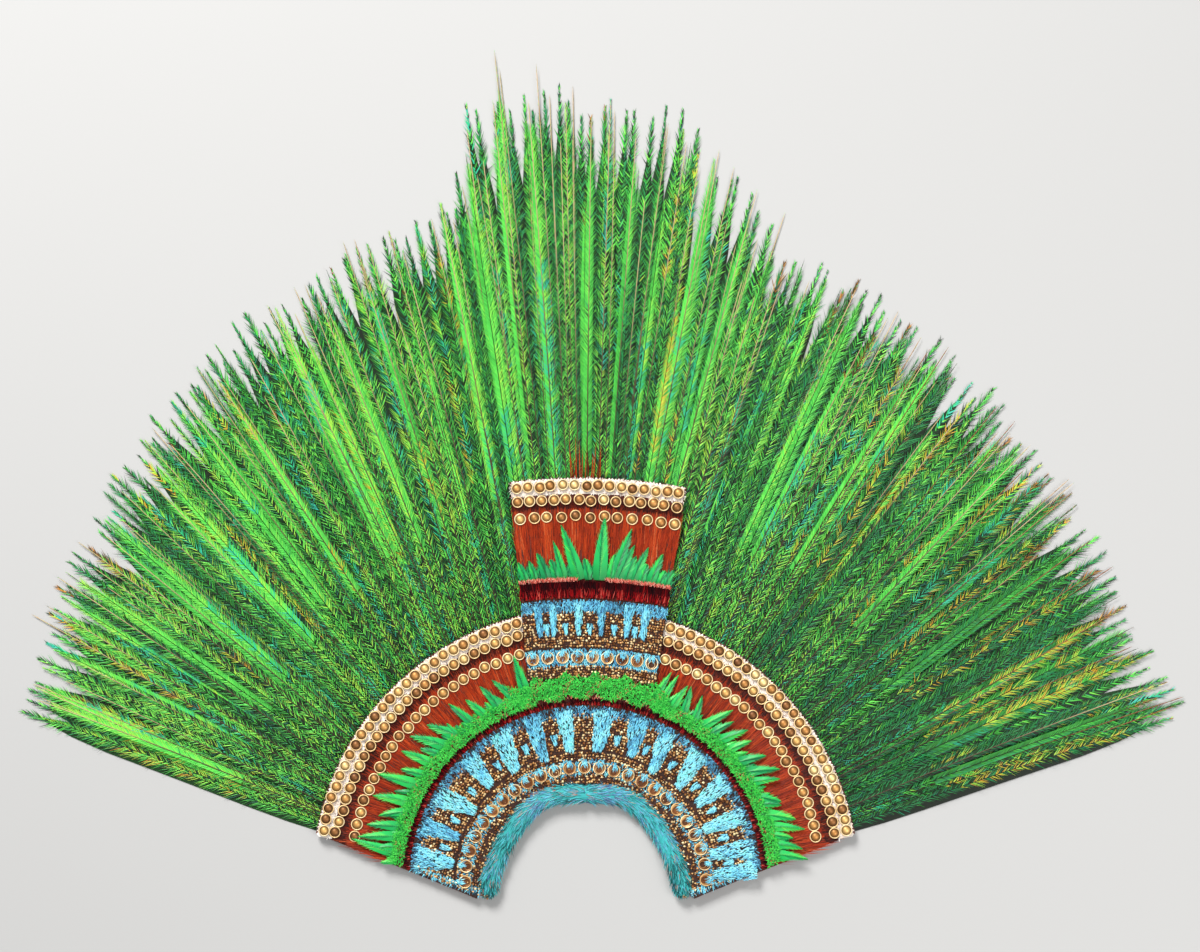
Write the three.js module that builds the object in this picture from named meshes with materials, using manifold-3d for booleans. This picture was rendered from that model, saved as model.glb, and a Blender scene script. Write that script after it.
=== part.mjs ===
// A feathered headdress lying on its back: a fan of long plumes, tucked behind a
// crescent-shaped panel with a head opening, and a tablet that stands on the crescent.
// Millimetres, +X to the wearer's left, +Y towards the plume tips, +Z out of the front.
import * as THREE from "three";
import { mergeVertices } from "three/addons/utils/BufferGeometryUtils.js";
import Module from "manifold-3d";

const wasm = await Module();
wasm.setup();

// ---------------------------------------------------------------- driving dimensions
const GAP = 0.4; // clearance between neighbouring pieces

// Radii are counted from the middle of the crescent's arcs.
const CRESCENT = { outer: 427, rebateFrom: 404, rebateHeight: 8.5, thickness: 12 };
const END_LINE = { slopeDeg: 20.8, distance: 80 }; // the straight cut of the crescent's two ends
const RIM = { inner: 404.5, outer: 427, thickness: 2.5 };
const CRIMSON = { inner: 275.5, outer: 286, thickness: 6.5 };
const FRINGE = { inner: 286.5, outer: 313, thickness: 5.5 };
const CROWN_OUTER = 298; // the green tufts between the crescent's red band and the tablet
const MOSAIC = { outer: 275, thickness: 2 };
const COMB = { outer: 274.5, strip: 262, pillarFoot: 202, pillarHalfWidth: 12, thickness: 4.4 };
const RINGS = { radius: 178, endRise: 10, ringRadius: 10.3, holeRadius: 6, thickness: 2 };
const RING_BAND = { halfWidth: 12, thickness: 1.4 };

// The tablet's arcs are flatter: their middle is this far below the crescent's, along the
// tablet's axis, and the tablet's radii are counted from it.
const TABLET_DROP = 300;
const TABLET = {
  axisDeg: 88.2,
  inner: 616,
  outer: 929,
  halfWidthInner: 100,
  halfWidthOuter: 139,
  thickness: 4,
};
const TABLET_GOLD = { inner: 617, outer: 739.5, thickness: 1.6 };
const TABLET_COMB = { outer: 739, strip: 726, pillarFoot: 684, pillarHalfWidth: 7, thickness: 4 };
const TABLET_RINGS = { radius: 650, count: 9 };
const TABLET_CRIMSON = { inner: 740.5, outer: 771.5, thickness: 6 };
const TABLET_GREEN = { inner: 772.5, outer: 786, thickness: 5 };
const TABLET_RIM = { inner: 904, outer: 929, thickness: 2.5 };

const DISC = { radius: 8.2, edge: 1.2, height: 4.5, sides: 6 };
const THREAD = { width: 3, height: 0.9 };

const ROLL = { halfWidth: 15, halfHeight: 11, sides: 10, steps: 26 };
// The head opening's padded edge, as its centre line from one foot to the other.
const ROLL_LINE = [
  [-154, -31], [-141, 28], [-106, 92], [-60, 131], [0, 136],
  [60, 131], [106, 92], [141, 28], [154, -31],
];

// A place on the fan is a share from -1, the lowest plume on the left, to 1, on the right.
const FAN = { baseRadius: 410, spreadDeg: 79, centreShare: 0.19, plumesPerBundle: 4 };
const SIDE_BUNDLES = 8;
const CENTRE_BUNDLES = 5;
// Lean of the plumes from upright, in degrees, at the centre block's edge and at the ends.
const LEAN = { left: [11.5, 70], right: [17, 70], power: 1.12 };
// Plume length by place on the fan.
const LENGTHS_LEFT = [[0.19, 650], [0.3, 640], [0.42, 625], [0.56, 595], [0.75, 545], [0.9, 532], [1, 508]];
const LENGTHS_RIGHT = [[0.19, 622], [0.3, 614], [0.42, 602], [0.56, 578], [0.75, 549], [0.9, 541], [1, 567]];
const CENTRE_LENGTHS = [[-0.19, 785], [-0.12, 860], [0, 866], [0.12, 842], [0.15, 780], [0.19, 705]];
// A plume's half width and height along its length.
const PLUME_STATIONS = [
  { at: 0, halfWidth: 8, height: 7 },
  { at: 0.5, halfWidth: 14, height: 11.5 },
  { at: 0.86, halfWidth: 12, height: 8.5 },
  { at: 1, halfWidth: 1.5, height: 3 },
];
const PLUME_EDGE = 0.25; // the vane edge's height as a share of the rachis's

// Polar angles of the blue feather pillars, in degrees.
const PILLARS_RIGHT = [3, 11.5, 23, 35, 47, 60, 71, 84];
const PILLARS_LEFT = [97, 108.5, 121, 134, 149, 161, 172];
const TABLET_PILLARS = [81.8, 83.9, 87.2, 90.1, 93.3, 95.1];

// Layers, from the crescent's front upwards.
const FRONT = CRESCENT.thickness + GAP;
const ON_MOSAIC = FRONT + MOSAIC.thickness + GAP;
const TABLET_BACK = FRONT;
const TABLET_FRONT = TABLET_BACK + TABLET.thickness + GAP;
const ON_TABLET_GOLD = TABLET_FRONT + TABLET_GOLD.thickness + GAP;

const rad = THREE.MathUtils.degToRad;
const polar = (r, degrees) => new THREE.Vector2(r * Math.cos(rad(degrees)), r * Math.sin(rad(degrees)));

// ---------------------------------------------------------------- solids
function solidOf(geometry) {
  const bare = geometry.index ? geometry.toNonIndexed() : geometry.clone();
  bare.deleteAttribute("normal");
  bare.deleteAttribute("uv");
  const merged = mergeVertices(bare, 1e-4);
  return new wasm.Manifold(
    new wasm.Mesh({
      numProp: 3,
      vertProperties: merged.attributes.position.array,
      triVerts: new Uint32Array(merged.index.array),
    }),
  );
}

function geometryOf(solid) {
  const mesh = solid.getMesh();
  const geometry = new THREE.BufferGeometry();
  geometry.setAttribute("position", new THREE.BufferAttribute(new Float32Array(mesh.vertProperties), 3));
  geometry.setIndex(new THREE.BufferAttribute(new Uint32Array(mesh.triVerts), 1));
  geometry.computeVertexNormals();
  return geometry;
}

const joined = (solids) => solids.reduce((whole, piece) => whole.add(piece));

// A flat shape given a thickness, standing on height z.
function slab(shape, z, thickness, curveSegments = 12) {
  const geometry = new THREE.ExtrudeGeometry(shape, {
    depth: thickness,
    bevelEnabled: false,
    curveSegments,
  });
  return geometry.translate(0, 0, z);
}

// ---------------------------------------------------------------- outlines
// Polar angle at which the crescent's right end line crosses a radius.
const endAngle = (r) => END_LINE.slopeDeg - THREE.MathUtils.radToDeg(Math.asin(END_LINE.distance / r));

// Half angle between the tablet's straight sides at a radius about a centre on its axis,
// which is raised above the tablet's own centre by a distance.
function tabletHalfAngle(r, raised) {
  const flare = (TABLET.halfWidthOuter - TABLET.halfWidthInner) / (TABLET.outer - TABLET.inner);
  const halfWidthAtCentre = TABLET.halfWidthInner - flare * (TABLET.inner - raised);
  const slope = Math.atan(flare);
  return THREE.MathUtils.radToDeg(slope + Math.asin((halfWidthAtCentre * Math.cos(slope)) / r));
}
const tabletRight = (r) => TABLET.axisDeg - tabletHalfAngle(r, 0);
const tabletLeft = (r) => TABLET.axisDeg + tabletHalfAngle(r, 0);

// Points on an arc whose radius may change with the angle.
function arcPoints(radiusAt, from, to, steps) {
  return Array.from({ length: steps + 1 }, (_, i) => {
    const angle = THREE.MathUtils.lerp(from, to, i / steps);
    return polar(radiusAt(angle), angle);
  });
}

// A band between two radii, from startAt to endAt, which give the angle of its ends at a radius.
function band(inner, outer, startAt, endAt, steps = 16) {
  return new THREE.Shape([
    ...arcPoints(() => outer, startAt(outer), endAt(outer), steps),
    ...arcPoints(() => inner, endAt(inner), startAt(inner), steps),
  ]);
}

const leftEnd = (r) => 180 - endAngle(r);
// The crescent's bands stop short of the tablet that stands between them.
const besideRight = (r) => TABLET.axisDeg - tabletHalfAngle(r, TABLET_DROP) - 0.1;
const besideLeft = (r) => TABLET.axisDeg + tabletHalfAngle(r, TABLET_DROP) + 0.1;

// The head opening's line moved outwards by a distance.
function rollOutline(offset, steps = 24) {
  const line = new THREE.SplineCurve(ROLL_LINE.map(([x, y]) => new THREE.Vector2(x, y)));
  return Array.from({ length: steps + 1 }, (_, i) => {
    const along = line.getTangentAt(i / steps);
    return line.getPointAt(i / steps).add(new THREE.Vector2(-along.y, along.x).multiplyScalar(offset));
  });
}

// The crescent between a radius and the head opening, cut straight at both ends.
function crescentOutline(outer, openingOffset, steps = 32) {
  return new THREE.Shape([
    ...arcPoints(() => outer, endAngle(outer), leftEnd(outer), steps),
    ...rollOutline(openingOffset),
  ]);
}

// A band with a row of pointed leaves on its outer edge. A leaf is [polar angle, length, sweep].
function leafBand(inner, outer, startAt, endAt, leaves, halfWidth) {
  const half = THREE.MathUtils.radToDeg(halfWidth / outer);
  const edge = leaves.flatMap(([angle, length, sweep]) => [
    polar(outer, angle - half),
    polar(outer + length, angle + sweep),
    polar(outer, angle + half),
  ]);
  return new THREE.Shape([
    polar(outer, startAt(outer)),
    ...edge,
    polar(outer, endAt(outer)),
    ...arcPoints(() => inner, endAt(inner), startAt(inner), 10),
  ]);
}

// An outer strip with pillars that reach inwards at the given angles.
function combShape({ outer, strip, pillarFoot, pillarHalfWidth }, startAt, endAt, angles) {
  const halfAt = (r) => THREE.MathUtils.radToDeg(Math.asin(pillarHalfWidth / r));
  const teeth = [...angles].reverse().flatMap((angle) => [
    polar(strip, angle + halfAt(strip)),
    polar(pillarFoot, angle + halfAt(pillarFoot)),
    polar(pillarFoot, angle - halfAt(pillarFoot)),
    polar(strip, angle - halfAt(strip)),
  ]);
  return new THREE.Shape([
    ...arcPoints(() => outer, startAt(outer), endAt(outer), 16),
    polar(strip, endAt(strip)),
    ...teeth,
    polar(strip, startAt(strip)),
  ]);
}

// ---------------------------------------------------------------- the plume fan
// Value at a place, on straight lines between [place, value] stations.
function between(stations, place) {
  const next = Math.max(1, stations.findIndex(([at]) => at >= place));
  const [[a, low], [b, high]] = [stations[next - 1], stations[next]];
  return THREE.MathUtils.lerp(low, high, THREE.MathUtils.clamp((place - a) / (b - a), 0, 1));
}

// Where a plume leaves the crescent, which way it points and how long it is.
function plumeRay(share) {
  const side = share < 0 ? "left" : "right";
  const [inner, end] = LEAN[side];
  const outwards = Math.max(0, (Math.abs(share) - FAN.centreShare) / (1 - FAN.centreShare));
  const lean =
    Math.abs(share) < FAN.centreShare
      ? (share / FAN.centreShare) * inner
      : Math.sign(share) * THREE.MathUtils.lerp(inner, end, outwards ** LEAN.power);
  const direction = new THREE.Vector2(Math.sin(rad(lean)), Math.cos(rad(lean)));
  const root = polar(FAN.baseRadius, 90 - FAN.spreadDeg * share);
  const sideLengths = side === "left" ? LENGTHS_LEFT : LENGTHS_RIGHT;
  const length =
    Math.abs(share) < FAN.centreShare ? between(CENTRE_LENGTHS, share) : between(sideLengths, Math.abs(share));
  return { root, direction, length };
}

// Most plumes fall short of their full length by some share: waves with no short repeat.
const shortfall = (n) => 0.035 + 0.022 * Math.sin(n * 2.4) + 0.013 * Math.sin(n * 5.3 + 1);

// A plume is a low ridge on the ground plane, widest past its middle, with a narrow tip.
function plumeSolid({ root, direction, length }, number) {
  const section = new THREE.Shape([
    new THREE.Vector2(-1, 0),
    new THREE.Vector2(1, 0),
    new THREE.Vector2(1, PLUME_EDGE),
    new THREE.Vector2(0, 1),
    new THREE.Vector2(-1, PLUME_EDGE),
  ]);
  const steps = PLUME_STATIONS.length - 1;
  const geometry = new THREE.ExtrudeGeometry(section, { depth: steps, steps, bevelEnabled: false });
  const reach = length * (1 - shortfall(number));
  const position = geometry.attributes.position;
  for (let i = 0; i < position.count; i += 1) {
    const { at, halfWidth, height } = PLUME_STATIONS[Math.round(position.getZ(i))];
    const across = position.getX(i) * halfWidth;
    position.setXYZ(
      i,
      root.x + direction.x * at * reach - direction.y * across,
      root.y + direction.y * at * reach + direction.x * across,
      position.getY(i) * height,
    );
  }
  return solidOf(geometry);
}

// The ground that a bundle may cover, between the rays at its two edges.
function bundleSector(from, to, slackFrom, slackTo) {
  const [a, b] = [plumeRay(from), plumeRay(to)];
  const longest = 1200;
  const sideways = ({ direction }, distance) =>
    new THREE.Vector2(direction.y, -direction.x).multiplyScalar(distance);
  const near = (ray, distance) => ray.root.clone().addScaledVector(ray.direction, -20).add(sideways(ray, distance));
  const far = (ray, distance) => ray.root.clone().addScaledVector(ray.direction, longest).add(sideways(ray, distance));
  const corners = [near(b, slackTo), far(b, slackTo), far(a, -slackFrom), near(a, -slackFrom)];
  return solidOf(slab(new THREE.Shape(corners), -1, 40));
}

function plumeBundle(from, to, firstNumber, slackFrom, slackTo) {
  const step = (to - from) / FAN.plumesPerBundle;
  const plumes = Array.from({ length: FAN.plumesPerBundle }, (_, i) =>
    plumeSolid(plumeRay(from + (i + 0.5) * step), firstNumber + i),
  );
  return joined(plumes).intersect(bundleSector(from, to, slackFrom, slackTo));
}

function plumeFan() {
  const bundles = [];
  const open = 20; // the outermost vanes aren't cut
  const addBundles = (label, count, from, to) => {
    const step = (to - from) / count;
    for (let i = 0; i < count; i += 1) {
      const low = from + i * step;
      const slackFrom = low <= -1 ? open : -GAP / 2;
      const slackTo = low + step >= 1 - 1e-9 ? open : -GAP / 2;
      const solid = plumeBundle(low, low + step, bundles.length * FAN.plumesPerBundle, slackFrom, slackTo);
      bundles.push([`plume_bundle_${label}_${i + 1}`, solid]);
    }
  };
  addBundles("left", SIDE_BUNDLES, -1, -FAN.centreShare);
  addBundles("centre", CENTRE_BUNDLES, -FAN.centreShare, FAN.centreShare);
  addBundles("right", SIDE_BUNDLES, FAN.centreShare, 1);
  return bundles;
}

// ---------------------------------------------------------------- discs and rings
function discSolid(centre, z) {
  const { radius, edge, height, sides } = DISC;
  const profile = [[0, 0], [radius, 0], [radius, edge], [0, height]].map(([x, y]) => new THREE.Vector2(x, y));
  const geometry = new THREE.LatheGeometry(profile, sides);
  return solidOf(geometry.rotateX(Math.PI / 2).translate(centre.x, centre.y, z));
}

// The stretch of thread between two places on a row.
function threadSolid(a, b, z) {
  const box = new THREE.BoxGeometry(a.distanceTo(b), THREAD.width, THREAD.height);
  const middle = a.clone().lerp(b, 0.5);
  box.rotateZ(Math.atan2(b.y - a.y, b.x - a.x));
  return solidOf(box.translate(middle.x, middle.y, z + THREAD.height / 2 + 0.05));
}

// Gilt discs on one thread, evenly spaced from one polar angle to another.
function discRow(radius, from, to, count, z) {
  const centres = arcPoints(() => radius, from, to, count - 1);
  const discs = centres.map((centre) => discSolid(centre, z));
  const threads = centres.slice(1).map((centre, i) => threadSolid(centres[i], centre, z));
  return joined([...discs, ...threads]);
}

const ringLine = (angle) => RINGS.radius + RINGS.endRise * Math.cos(rad(angle)) ** 4;

function ringSolid(centre, z) {
  const { ringRadius, holeRadius, thickness } = RINGS;
  const shape = new THREE.Shape().absarc(centre.x, centre.y, ringRadius, 0, 2 * Math.PI);
  shape.holes.push(new THREE.Path().absarc(centre.x, centre.y, holeRadius, 0, 2 * Math.PI, true));
  return solidOf(slab(shape, z, thickness, 3));
}

function ringRow(centres, z) {
  const rings = centres.map((centre) => ringSolid(centre, z));
  const threads = centres.slice(1).map((centre, i) => {
    const along = centre.clone().sub(centres[i]).setLength(RINGS.holeRadius + 2);
    return threadSolid(centres[i].clone().add(along), centre.clone().sub(along), z);
  });
  return joined([...rings, ...threads]);
}

// ---------------------------------------------------------------- panels
function crescentPanel() {
  const whole = solidOf(slab(crescentOutline(CRESCENT.outer, ROLL.halfWidth + GAP), 0, CRESCENT.thickness));
  const rebate = band(CRESCENT.rebateFrom, CRESCENT.outer + 10, () => -5, () => 185, 32);
  return whole.subtract(solidOf(slab(rebate, -1, CRESCENT.rebateHeight + 1)));
}

const tabletBand = (inner, outer, steps = 8) => band(inner, outer, tabletRight, tabletLeft, steps);

function headRoll() {
  const section = new THREE.Shape().absellipse(0, 0, ROLL.halfHeight, ROLL.halfWidth, 0, 2 * Math.PI);
  const path = new THREE.CatmullRomCurve3(
    ROLL_LINE.map(([x, y]) => new THREE.Vector3(x, y, ROLL.halfHeight)),
    false,
    "catmullrom",
    0.5,
  );
  return new THREE.ExtrudeGeometry(section, {
    extrudePath: path,
    steps: ROLL.steps,
    curveSegments: ROLL.sides / 2,
    bevelEnabled: false,
  });
}

function ringBand(from, to) {
  const shape = new THREE.Shape([
    ...arcPoints((angle) => ringLine(angle) + RING_BAND.halfWidth, from, to, 24),
    ...arcPoints((angle) => ringLine(angle) - RING_BAND.halfWidth, to, from, 24),
  ]);
  return slab(shape, ON_MOSAIC, RING_BAND.thickness);
}

// Leaves spread evenly from one angle to another, with a length and sweep for each.
function leavesOver(from, to, count, lengthAt, sweepAt) {
  return Array.from({ length: count }, (_, i) => {
    const share = count > 1 ? i / (count - 1) : 0.5;
    return [THREE.MathUtils.lerp(from, to, share), lengthAt(share, i), sweepAt(share)];
  });
}

// ---------------------------------------------------------------- finishes
const finish = (color, roughness, metalness = 0) => new THREE.MeshStandardMaterial({ color, roughness, metalness });
const PLUME_GREEN = finish(0x2f9a3c, 0.45);
const LEAF_GREEN = finish(0x1fae4a, 0.5);
const RUST = finish(0x7a2f1c, 0.8);
const BLUSH = finish(0xe9cdb8, 0.9);
const CRIMSON_RED = finish(0x6d0f14, 0.8);
const SKY_BLUE = finish(0x45b5d3, 0.7);
const GILT = finish(0xc9974c, 0.3, 1);

// ---------------------------------------------------------------- assembly
const assembly = new THREE.Group();

function place(name, shape, material) {
  const mesh = new THREE.Mesh(shape.isBufferGeometry ? shape : geometryOf(shape), material);
  mesh.name = name;
  assembly.add(mesh);
}

// A piece of the tablet is drawn about the tablet's own centre.
function placeOnTablet(name, shape, material) {
  const centre = polar(-TABLET_DROP, TABLET.axisDeg);
  const geometry = shape.isBufferGeometry ? shape : geometryOf(shape);
  place(name, geometry.translate(centre.x, centre.y, 0), material);
}

plumeFan().forEach(([name, solid]) => place(name, solid, PLUME_GREEN));

place("crescent_panel", crescentPanel(), RUST);
placeOnTablet("tablet_panel", slab(tabletBand(TABLET.inner, TABLET.outer), TABLET_BACK, TABLET.thickness), RUST);
place("head_opening_roll", headRoll(), SKY_BLUE);

place("crescent_rim_left", slab(band(RIM.inner, RIM.outer, besideLeft, leftEnd, 14), FRONT, RIM.thickness), BLUSH);
place("crescent_rim_right", slab(band(RIM.inner, RIM.outer, endAngle, besideRight, 14), FRONT, RIM.thickness), BLUSH);
placeOnTablet("tablet_rim", slab(tabletBand(TABLET_RIM.inner, TABLET_RIM.outer), TABLET_FRONT, TABLET_RIM.thickness), BLUSH);

const onRim = FRONT + RIM.thickness + GAP;
const discRows = [
  ["outer", 417, 13, 27, onRim],
  ["second", 394, 13.5, 25, FRONT],
  ["third", 367, 13.5, 22, FRONT],
];
discRows.forEach(([label, radius, from, count, z]) => {
  const clear = THREE.MathUtils.radToDeg((DISC.radius + GAP) / radius);
  const right = discRow(radius, from, besideRight(radius) - clear, count, z);
  const left = discRow(radius, besideLeft(radius) + clear, 180 - from, count, z);
  place(`gilt_discs_${label}_right`, right, GILT);
  place(`gilt_discs_${label}_left`, left, GILT);
});

const tabletDiscRows = [
  ["top", 916, 15, TABLET_FRONT + TABLET_RIM.thickness + GAP],
  ["second", 893, 14, TABLET_FRONT],
  ["third", 868, 12, TABLET_FRONT],
];
tabletDiscRows.forEach(([label, radius, count, z]) => {
  const inset = THREE.MathUtils.radToDeg((DISC.radius + 1) / radius);
  const row = discRow(radius, tabletRight(radius) + inset, tabletLeft(radius) - inset, count, z);
  placeOnTablet(`tablet_discs_${label}`, row, GILT);
});

place(
  "crimson_band_crescent",
  slab(band(CRIMSON.inner, CRIMSON.outer, endAngle, leftEnd, 28), FRONT, CRIMSON.thickness),
  CRIMSON_RED,
);
placeOnTablet(
  "crimson_band_tablet",
  slab(tabletBand(TABLET_CRIMSON.inner, TABLET_CRIMSON.outer), TABLET_FRONT, TABLET_CRIMSON.thickness),
  CRIMSON_RED,
);

const leafLength = (share, i) => 34 + 8 * Math.sin(i * 2.1);
const rightLeaves = leavesOver(9, 65, 16, leafLength, (share) => 2.5 * share);
const leftLeaves = leavesOver(111, 171, 16, leafLength, (share) => -2.5 * (1 - share));
const fringe = (startAt, endAt, leaves) =>
  slab(leafBand(FRINGE.inner, FRINGE.outer, startAt, endAt, leaves, 8), FRONT, FRINGE.thickness);
const crownRight = besideRight(CROWN_OUTER);
const crownLeft = besideLeft(CROWN_OUTER);
place("green_leaves_right", fringe(endAngle, () => crownRight - 0.1, rightLeaves), LEAF_GREEN);
place("green_leaves_left", fringe(() => crownLeft + 0.1, leftEnd, leftLeaves), LEAF_GREEN);
place(
  "green_tufts_crown",
  slab(band(FRINGE.inner, CROWN_OUTER, () => crownRight, () => crownLeft, 8), FRONT, FRINGE.thickness),
  LEAF_GREEN,
);
const tabletLeaves = leavesOver(
  tabletRight(TABLET_GREEN.outer) + 0.9,
  tabletLeft(TABLET_GREEN.outer) - 0.9,
  11,
  (share, i) => 18 + 58 * Math.sin(Math.PI * share) ** 2 * (0.75 + 0.25 * Math.cos(i * Math.PI)),
  (share) => 2 * (share - 0.5),
);
placeOnTablet(
  "green_leaves_tablet",
  slab(
    leafBand(TABLET_GREEN.inner, TABLET_GREEN.outer, tabletRight, tabletLeft, tabletLeaves, 8),
    TABLET_FRONT,
    TABLET_GREEN.thickness,
  ),
  LEAF_GREEN,
);

place(
  "gold_mosaic_crescent",
  slab(crescentOutline(MOSAIC.outer, ROLL.halfWidth + GAP + 1, 28), FRONT, MOSAIC.thickness),
  GILT,
);
placeOnTablet(
  "gold_mosaic_tablet",
  slab(tabletBand(TABLET_GOLD.inner, TABLET_GOLD.outer), TABLET_FRONT, TABLET_GOLD.thickness),
  GILT,
);
const middle = 90.5; // where the crescent's two combs meet
place(
  "turquoise_feathers_right",
  slab(combShape(COMB, endAngle, () => middle - 0.05, PILLARS_RIGHT), ON_MOSAIC, COMB.thickness),
  SKY_BLUE,
);
place(
  "turquoise_feathers_left",
  slab(combShape(COMB, () => middle + 0.05, leftEnd, PILLARS_LEFT), ON_MOSAIC, COMB.thickness),
  SKY_BLUE,
);
placeOnTablet(
  "turquoise_feathers_tablet",
  slab(combShape(TABLET_COMB, tabletRight, tabletLeft, TABLET_PILLARS), ON_TABLET_GOLD, TABLET_COMB.thickness),
  SKY_BLUE,
);

const ringEndDeg = 1.5;
place("turquoise_band_crescent", ringBand(ringEndDeg - 1.5, 181.5 - ringEndDeg), SKY_BLUE);
place(
  "gold_rings_crescent",
  ringRow(arcPoints(ringLine, ringEndDeg + 2, 178 - ringEndDeg, 24), ON_MOSAIC + RING_BAND.thickness + GAP),
  GILT,
);
placeOnTablet(
  "turquoise_band_tablet",
  slab(tabletBand(TABLET_RINGS.radius - 14, TABLET_RINGS.radius + 14), ON_TABLET_GOLD, RING_BAND.thickness),
  SKY_BLUE,
);
const tabletRingInset = THREE.MathUtils.radToDeg((RINGS.ringRadius + 1) / TABLET_RINGS.radius);
placeOnTablet(
  "gold_rings_tablet",
  ringRow(
    arcPoints(
      () => TABLET_RINGS.radius,
      tabletRight(TABLET_RINGS.radius) + tabletRingInset,
      tabletLeft(TABLET_RINGS.radius) - tabletRingInset,
      TABLET_RINGS.count - 1,
    ),
    ON_TABLET_GOLD + RING_BAND.thickness + GAP,
  ),
  GILT,
);

// The origin is the middle of the ground that the headdress covers.
const box = new THREE.Box3().setFromObject(assembly, true);
assembly.position.set(-(box.min.x + box.max.x) / 2, -(box.min.y + box.max.y) / 2, -box.min.z);

const headdress = new THREE.Group();
headdress.add(assembly);

export default headdress;
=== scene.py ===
"""The looks of a feathered headdress that lies on its back.

Every piece is worked out in millimetres from the middle of the crescent's arcs, with polar angles
counted anticlockwise from the viewer's right, and is put into the frame's metres when it is made.
Left and right are the viewer's. A shape is a set of points, faces and shades, where a shade says
where its finish's tones are read, and how far along its finish's painted light and shade.
"""
import math

import bpy
import numpy as np
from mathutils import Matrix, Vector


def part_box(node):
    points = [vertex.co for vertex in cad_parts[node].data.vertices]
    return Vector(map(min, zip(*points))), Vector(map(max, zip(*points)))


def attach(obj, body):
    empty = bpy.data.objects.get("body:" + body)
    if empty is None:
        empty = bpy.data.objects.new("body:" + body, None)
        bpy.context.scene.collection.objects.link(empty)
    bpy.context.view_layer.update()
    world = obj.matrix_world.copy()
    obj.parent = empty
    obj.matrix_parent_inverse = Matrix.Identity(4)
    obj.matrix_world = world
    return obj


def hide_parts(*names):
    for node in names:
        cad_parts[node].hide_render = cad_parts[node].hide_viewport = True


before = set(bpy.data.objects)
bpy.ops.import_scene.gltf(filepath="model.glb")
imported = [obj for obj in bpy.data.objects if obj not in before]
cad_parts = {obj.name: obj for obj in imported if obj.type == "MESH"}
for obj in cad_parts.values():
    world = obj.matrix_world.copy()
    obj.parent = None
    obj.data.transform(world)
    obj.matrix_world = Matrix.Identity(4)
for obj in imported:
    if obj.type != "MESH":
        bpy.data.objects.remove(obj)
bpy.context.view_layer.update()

# ---------------------------------------------------------------- measures
panel_low, panel_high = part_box("crescent_panel")
CRESCENT_RADIUS = 427.0
ARC_MIDDLE = np.array([(panel_low.x + panel_high.x) / 2, panel_high.y - CRESCENT_RADIUS / 1000, 0.0])
FRONT = panel_high.z * 1000
TABLET_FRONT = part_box("tablet_panel")[1].z * 1000
GOLD_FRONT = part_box("gold_mosaic_crescent")[1].z * 1000
TABLET_GOLD_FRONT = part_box("gold_mosaic_tablet")[1].z * 1000
TABLET_AXIS = 88.2  # the tablet leans a little to the right
TABLET_DROP = 300.0  # its arcs' middle lies this far down its axis
TABLET_REACH = (616.0, 929.0)  # radii of its lower and upper edge, from its arcs' middle
TABLET_HALF_WIDTHS = (100.0, 139.0)  # at the lower and the upper edge
TABLET_GAP = 0.1  # degrees left free along the tablet's sides
END_SLOPE, END_DISTANCE = 20.8, 80.0  # the straight cut of the crescent's ends
UP = np.array([0.0, 0.0, 1.0])
BOTH_SIDES = np.array([-1.0, 1.0])
DEGREE = 0.01745  # length of one degree of an arc whose radius is 1

# Inner and outer radius of each band of the crescent, from the rim inwards.
RIM_BAND = (401, 425)
DARK_RUST_BAND = (376, 390)
RUST_BAND = (296, 368)
MOSS_BAND = (285, 312)
CRIMSON_BAND = (273.5, 288)
TURQUOISE_STRIP = (259, 275)
OUTER_MOSAIC = (207, 262)
SQUARE_BAND = (221, 234)
RINGED_MOSAIC = (192, 204)
INNER_MOSAIC = (155, 190)
CROWN_MOSS_BAND = (287, 322)

# The same for the tablet, from its own middle.
TABLET_RIM_BAND = (904, 928)
TABLET_DARK_RUST_BAND = (880, 892)
TABLET_RUST_BAND = (788, 866)
TABLET_LEAF_BAND = (772, 786)
TABLET_LEAF_ROOT = 770.0
TABLET_CRIMSON_BAND = (741, 771)
TABLET_STRIP = (723, 740)
TABLET_PILLAR_BAND = (688, 736)
TABLET_OUTER_MOSAIC = (683, 723)
TABLET_SQUARE_BAND = (689, 703)
TABLET_RINGED_MOSAIC = (667, 681)
TABLET_RING_BAND = (638, 664)
TABLET_INNER_MOSAIC = (619, 636)

# Sizes of the small parts.
TONGUE_WIDTH, TONGUE_PITCH = 8.0, 4.986
PEBBLE_PITCH = 4.1
RINGS, TABLET_RINGS = 25, 9
RING_RADIUS, TABLET_RING_RADIUS = 178, 650.0  # where the rows of rings lie
DISC_RADIUS = 8.0
BARB_ANGLE = 34  # degrees between a barb and its quill
LEAF_OUTLINE = ([0, 0.1, 0.32, 0.55, 0.8, 1], [0.8, 1, 1, 0.74, 0.34, 0.03])  # way along, share of width
TRIM_SEED = 7


def polar(radius, degrees):
    """Points at a radius and a polar angle: radius times cosine and sine."""
    radius, turn = np.broadcast_arrays(np.asarray(radius, float), np.radians(degrees))
    return np.stack([radius * np.cos(turn), radius * np.sin(turn)], -1)


def rotated(plane, angle):
    """Plane points or directions turned by an angle."""
    c, s = np.cos(angle), np.sin(angle)
    x, y = plane[..., 0], plane[..., 1]
    return np.stack([c * x - s * y, s * x + c * y], -1)


def on_tablet(points):
    """Moves points drawn about the tablet's own middle to where the tablet is."""
    moved = np.array(points, float)
    moved[..., :2] -= polar(TABLET_DROP, TABLET_AXIS)
    return moved


def end_angle(radius):
    """Polar angle where the crescent's right end crosses a radius."""
    return END_SLOPE - np.degrees(np.arcsin(END_DISTANCE / radius))


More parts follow.
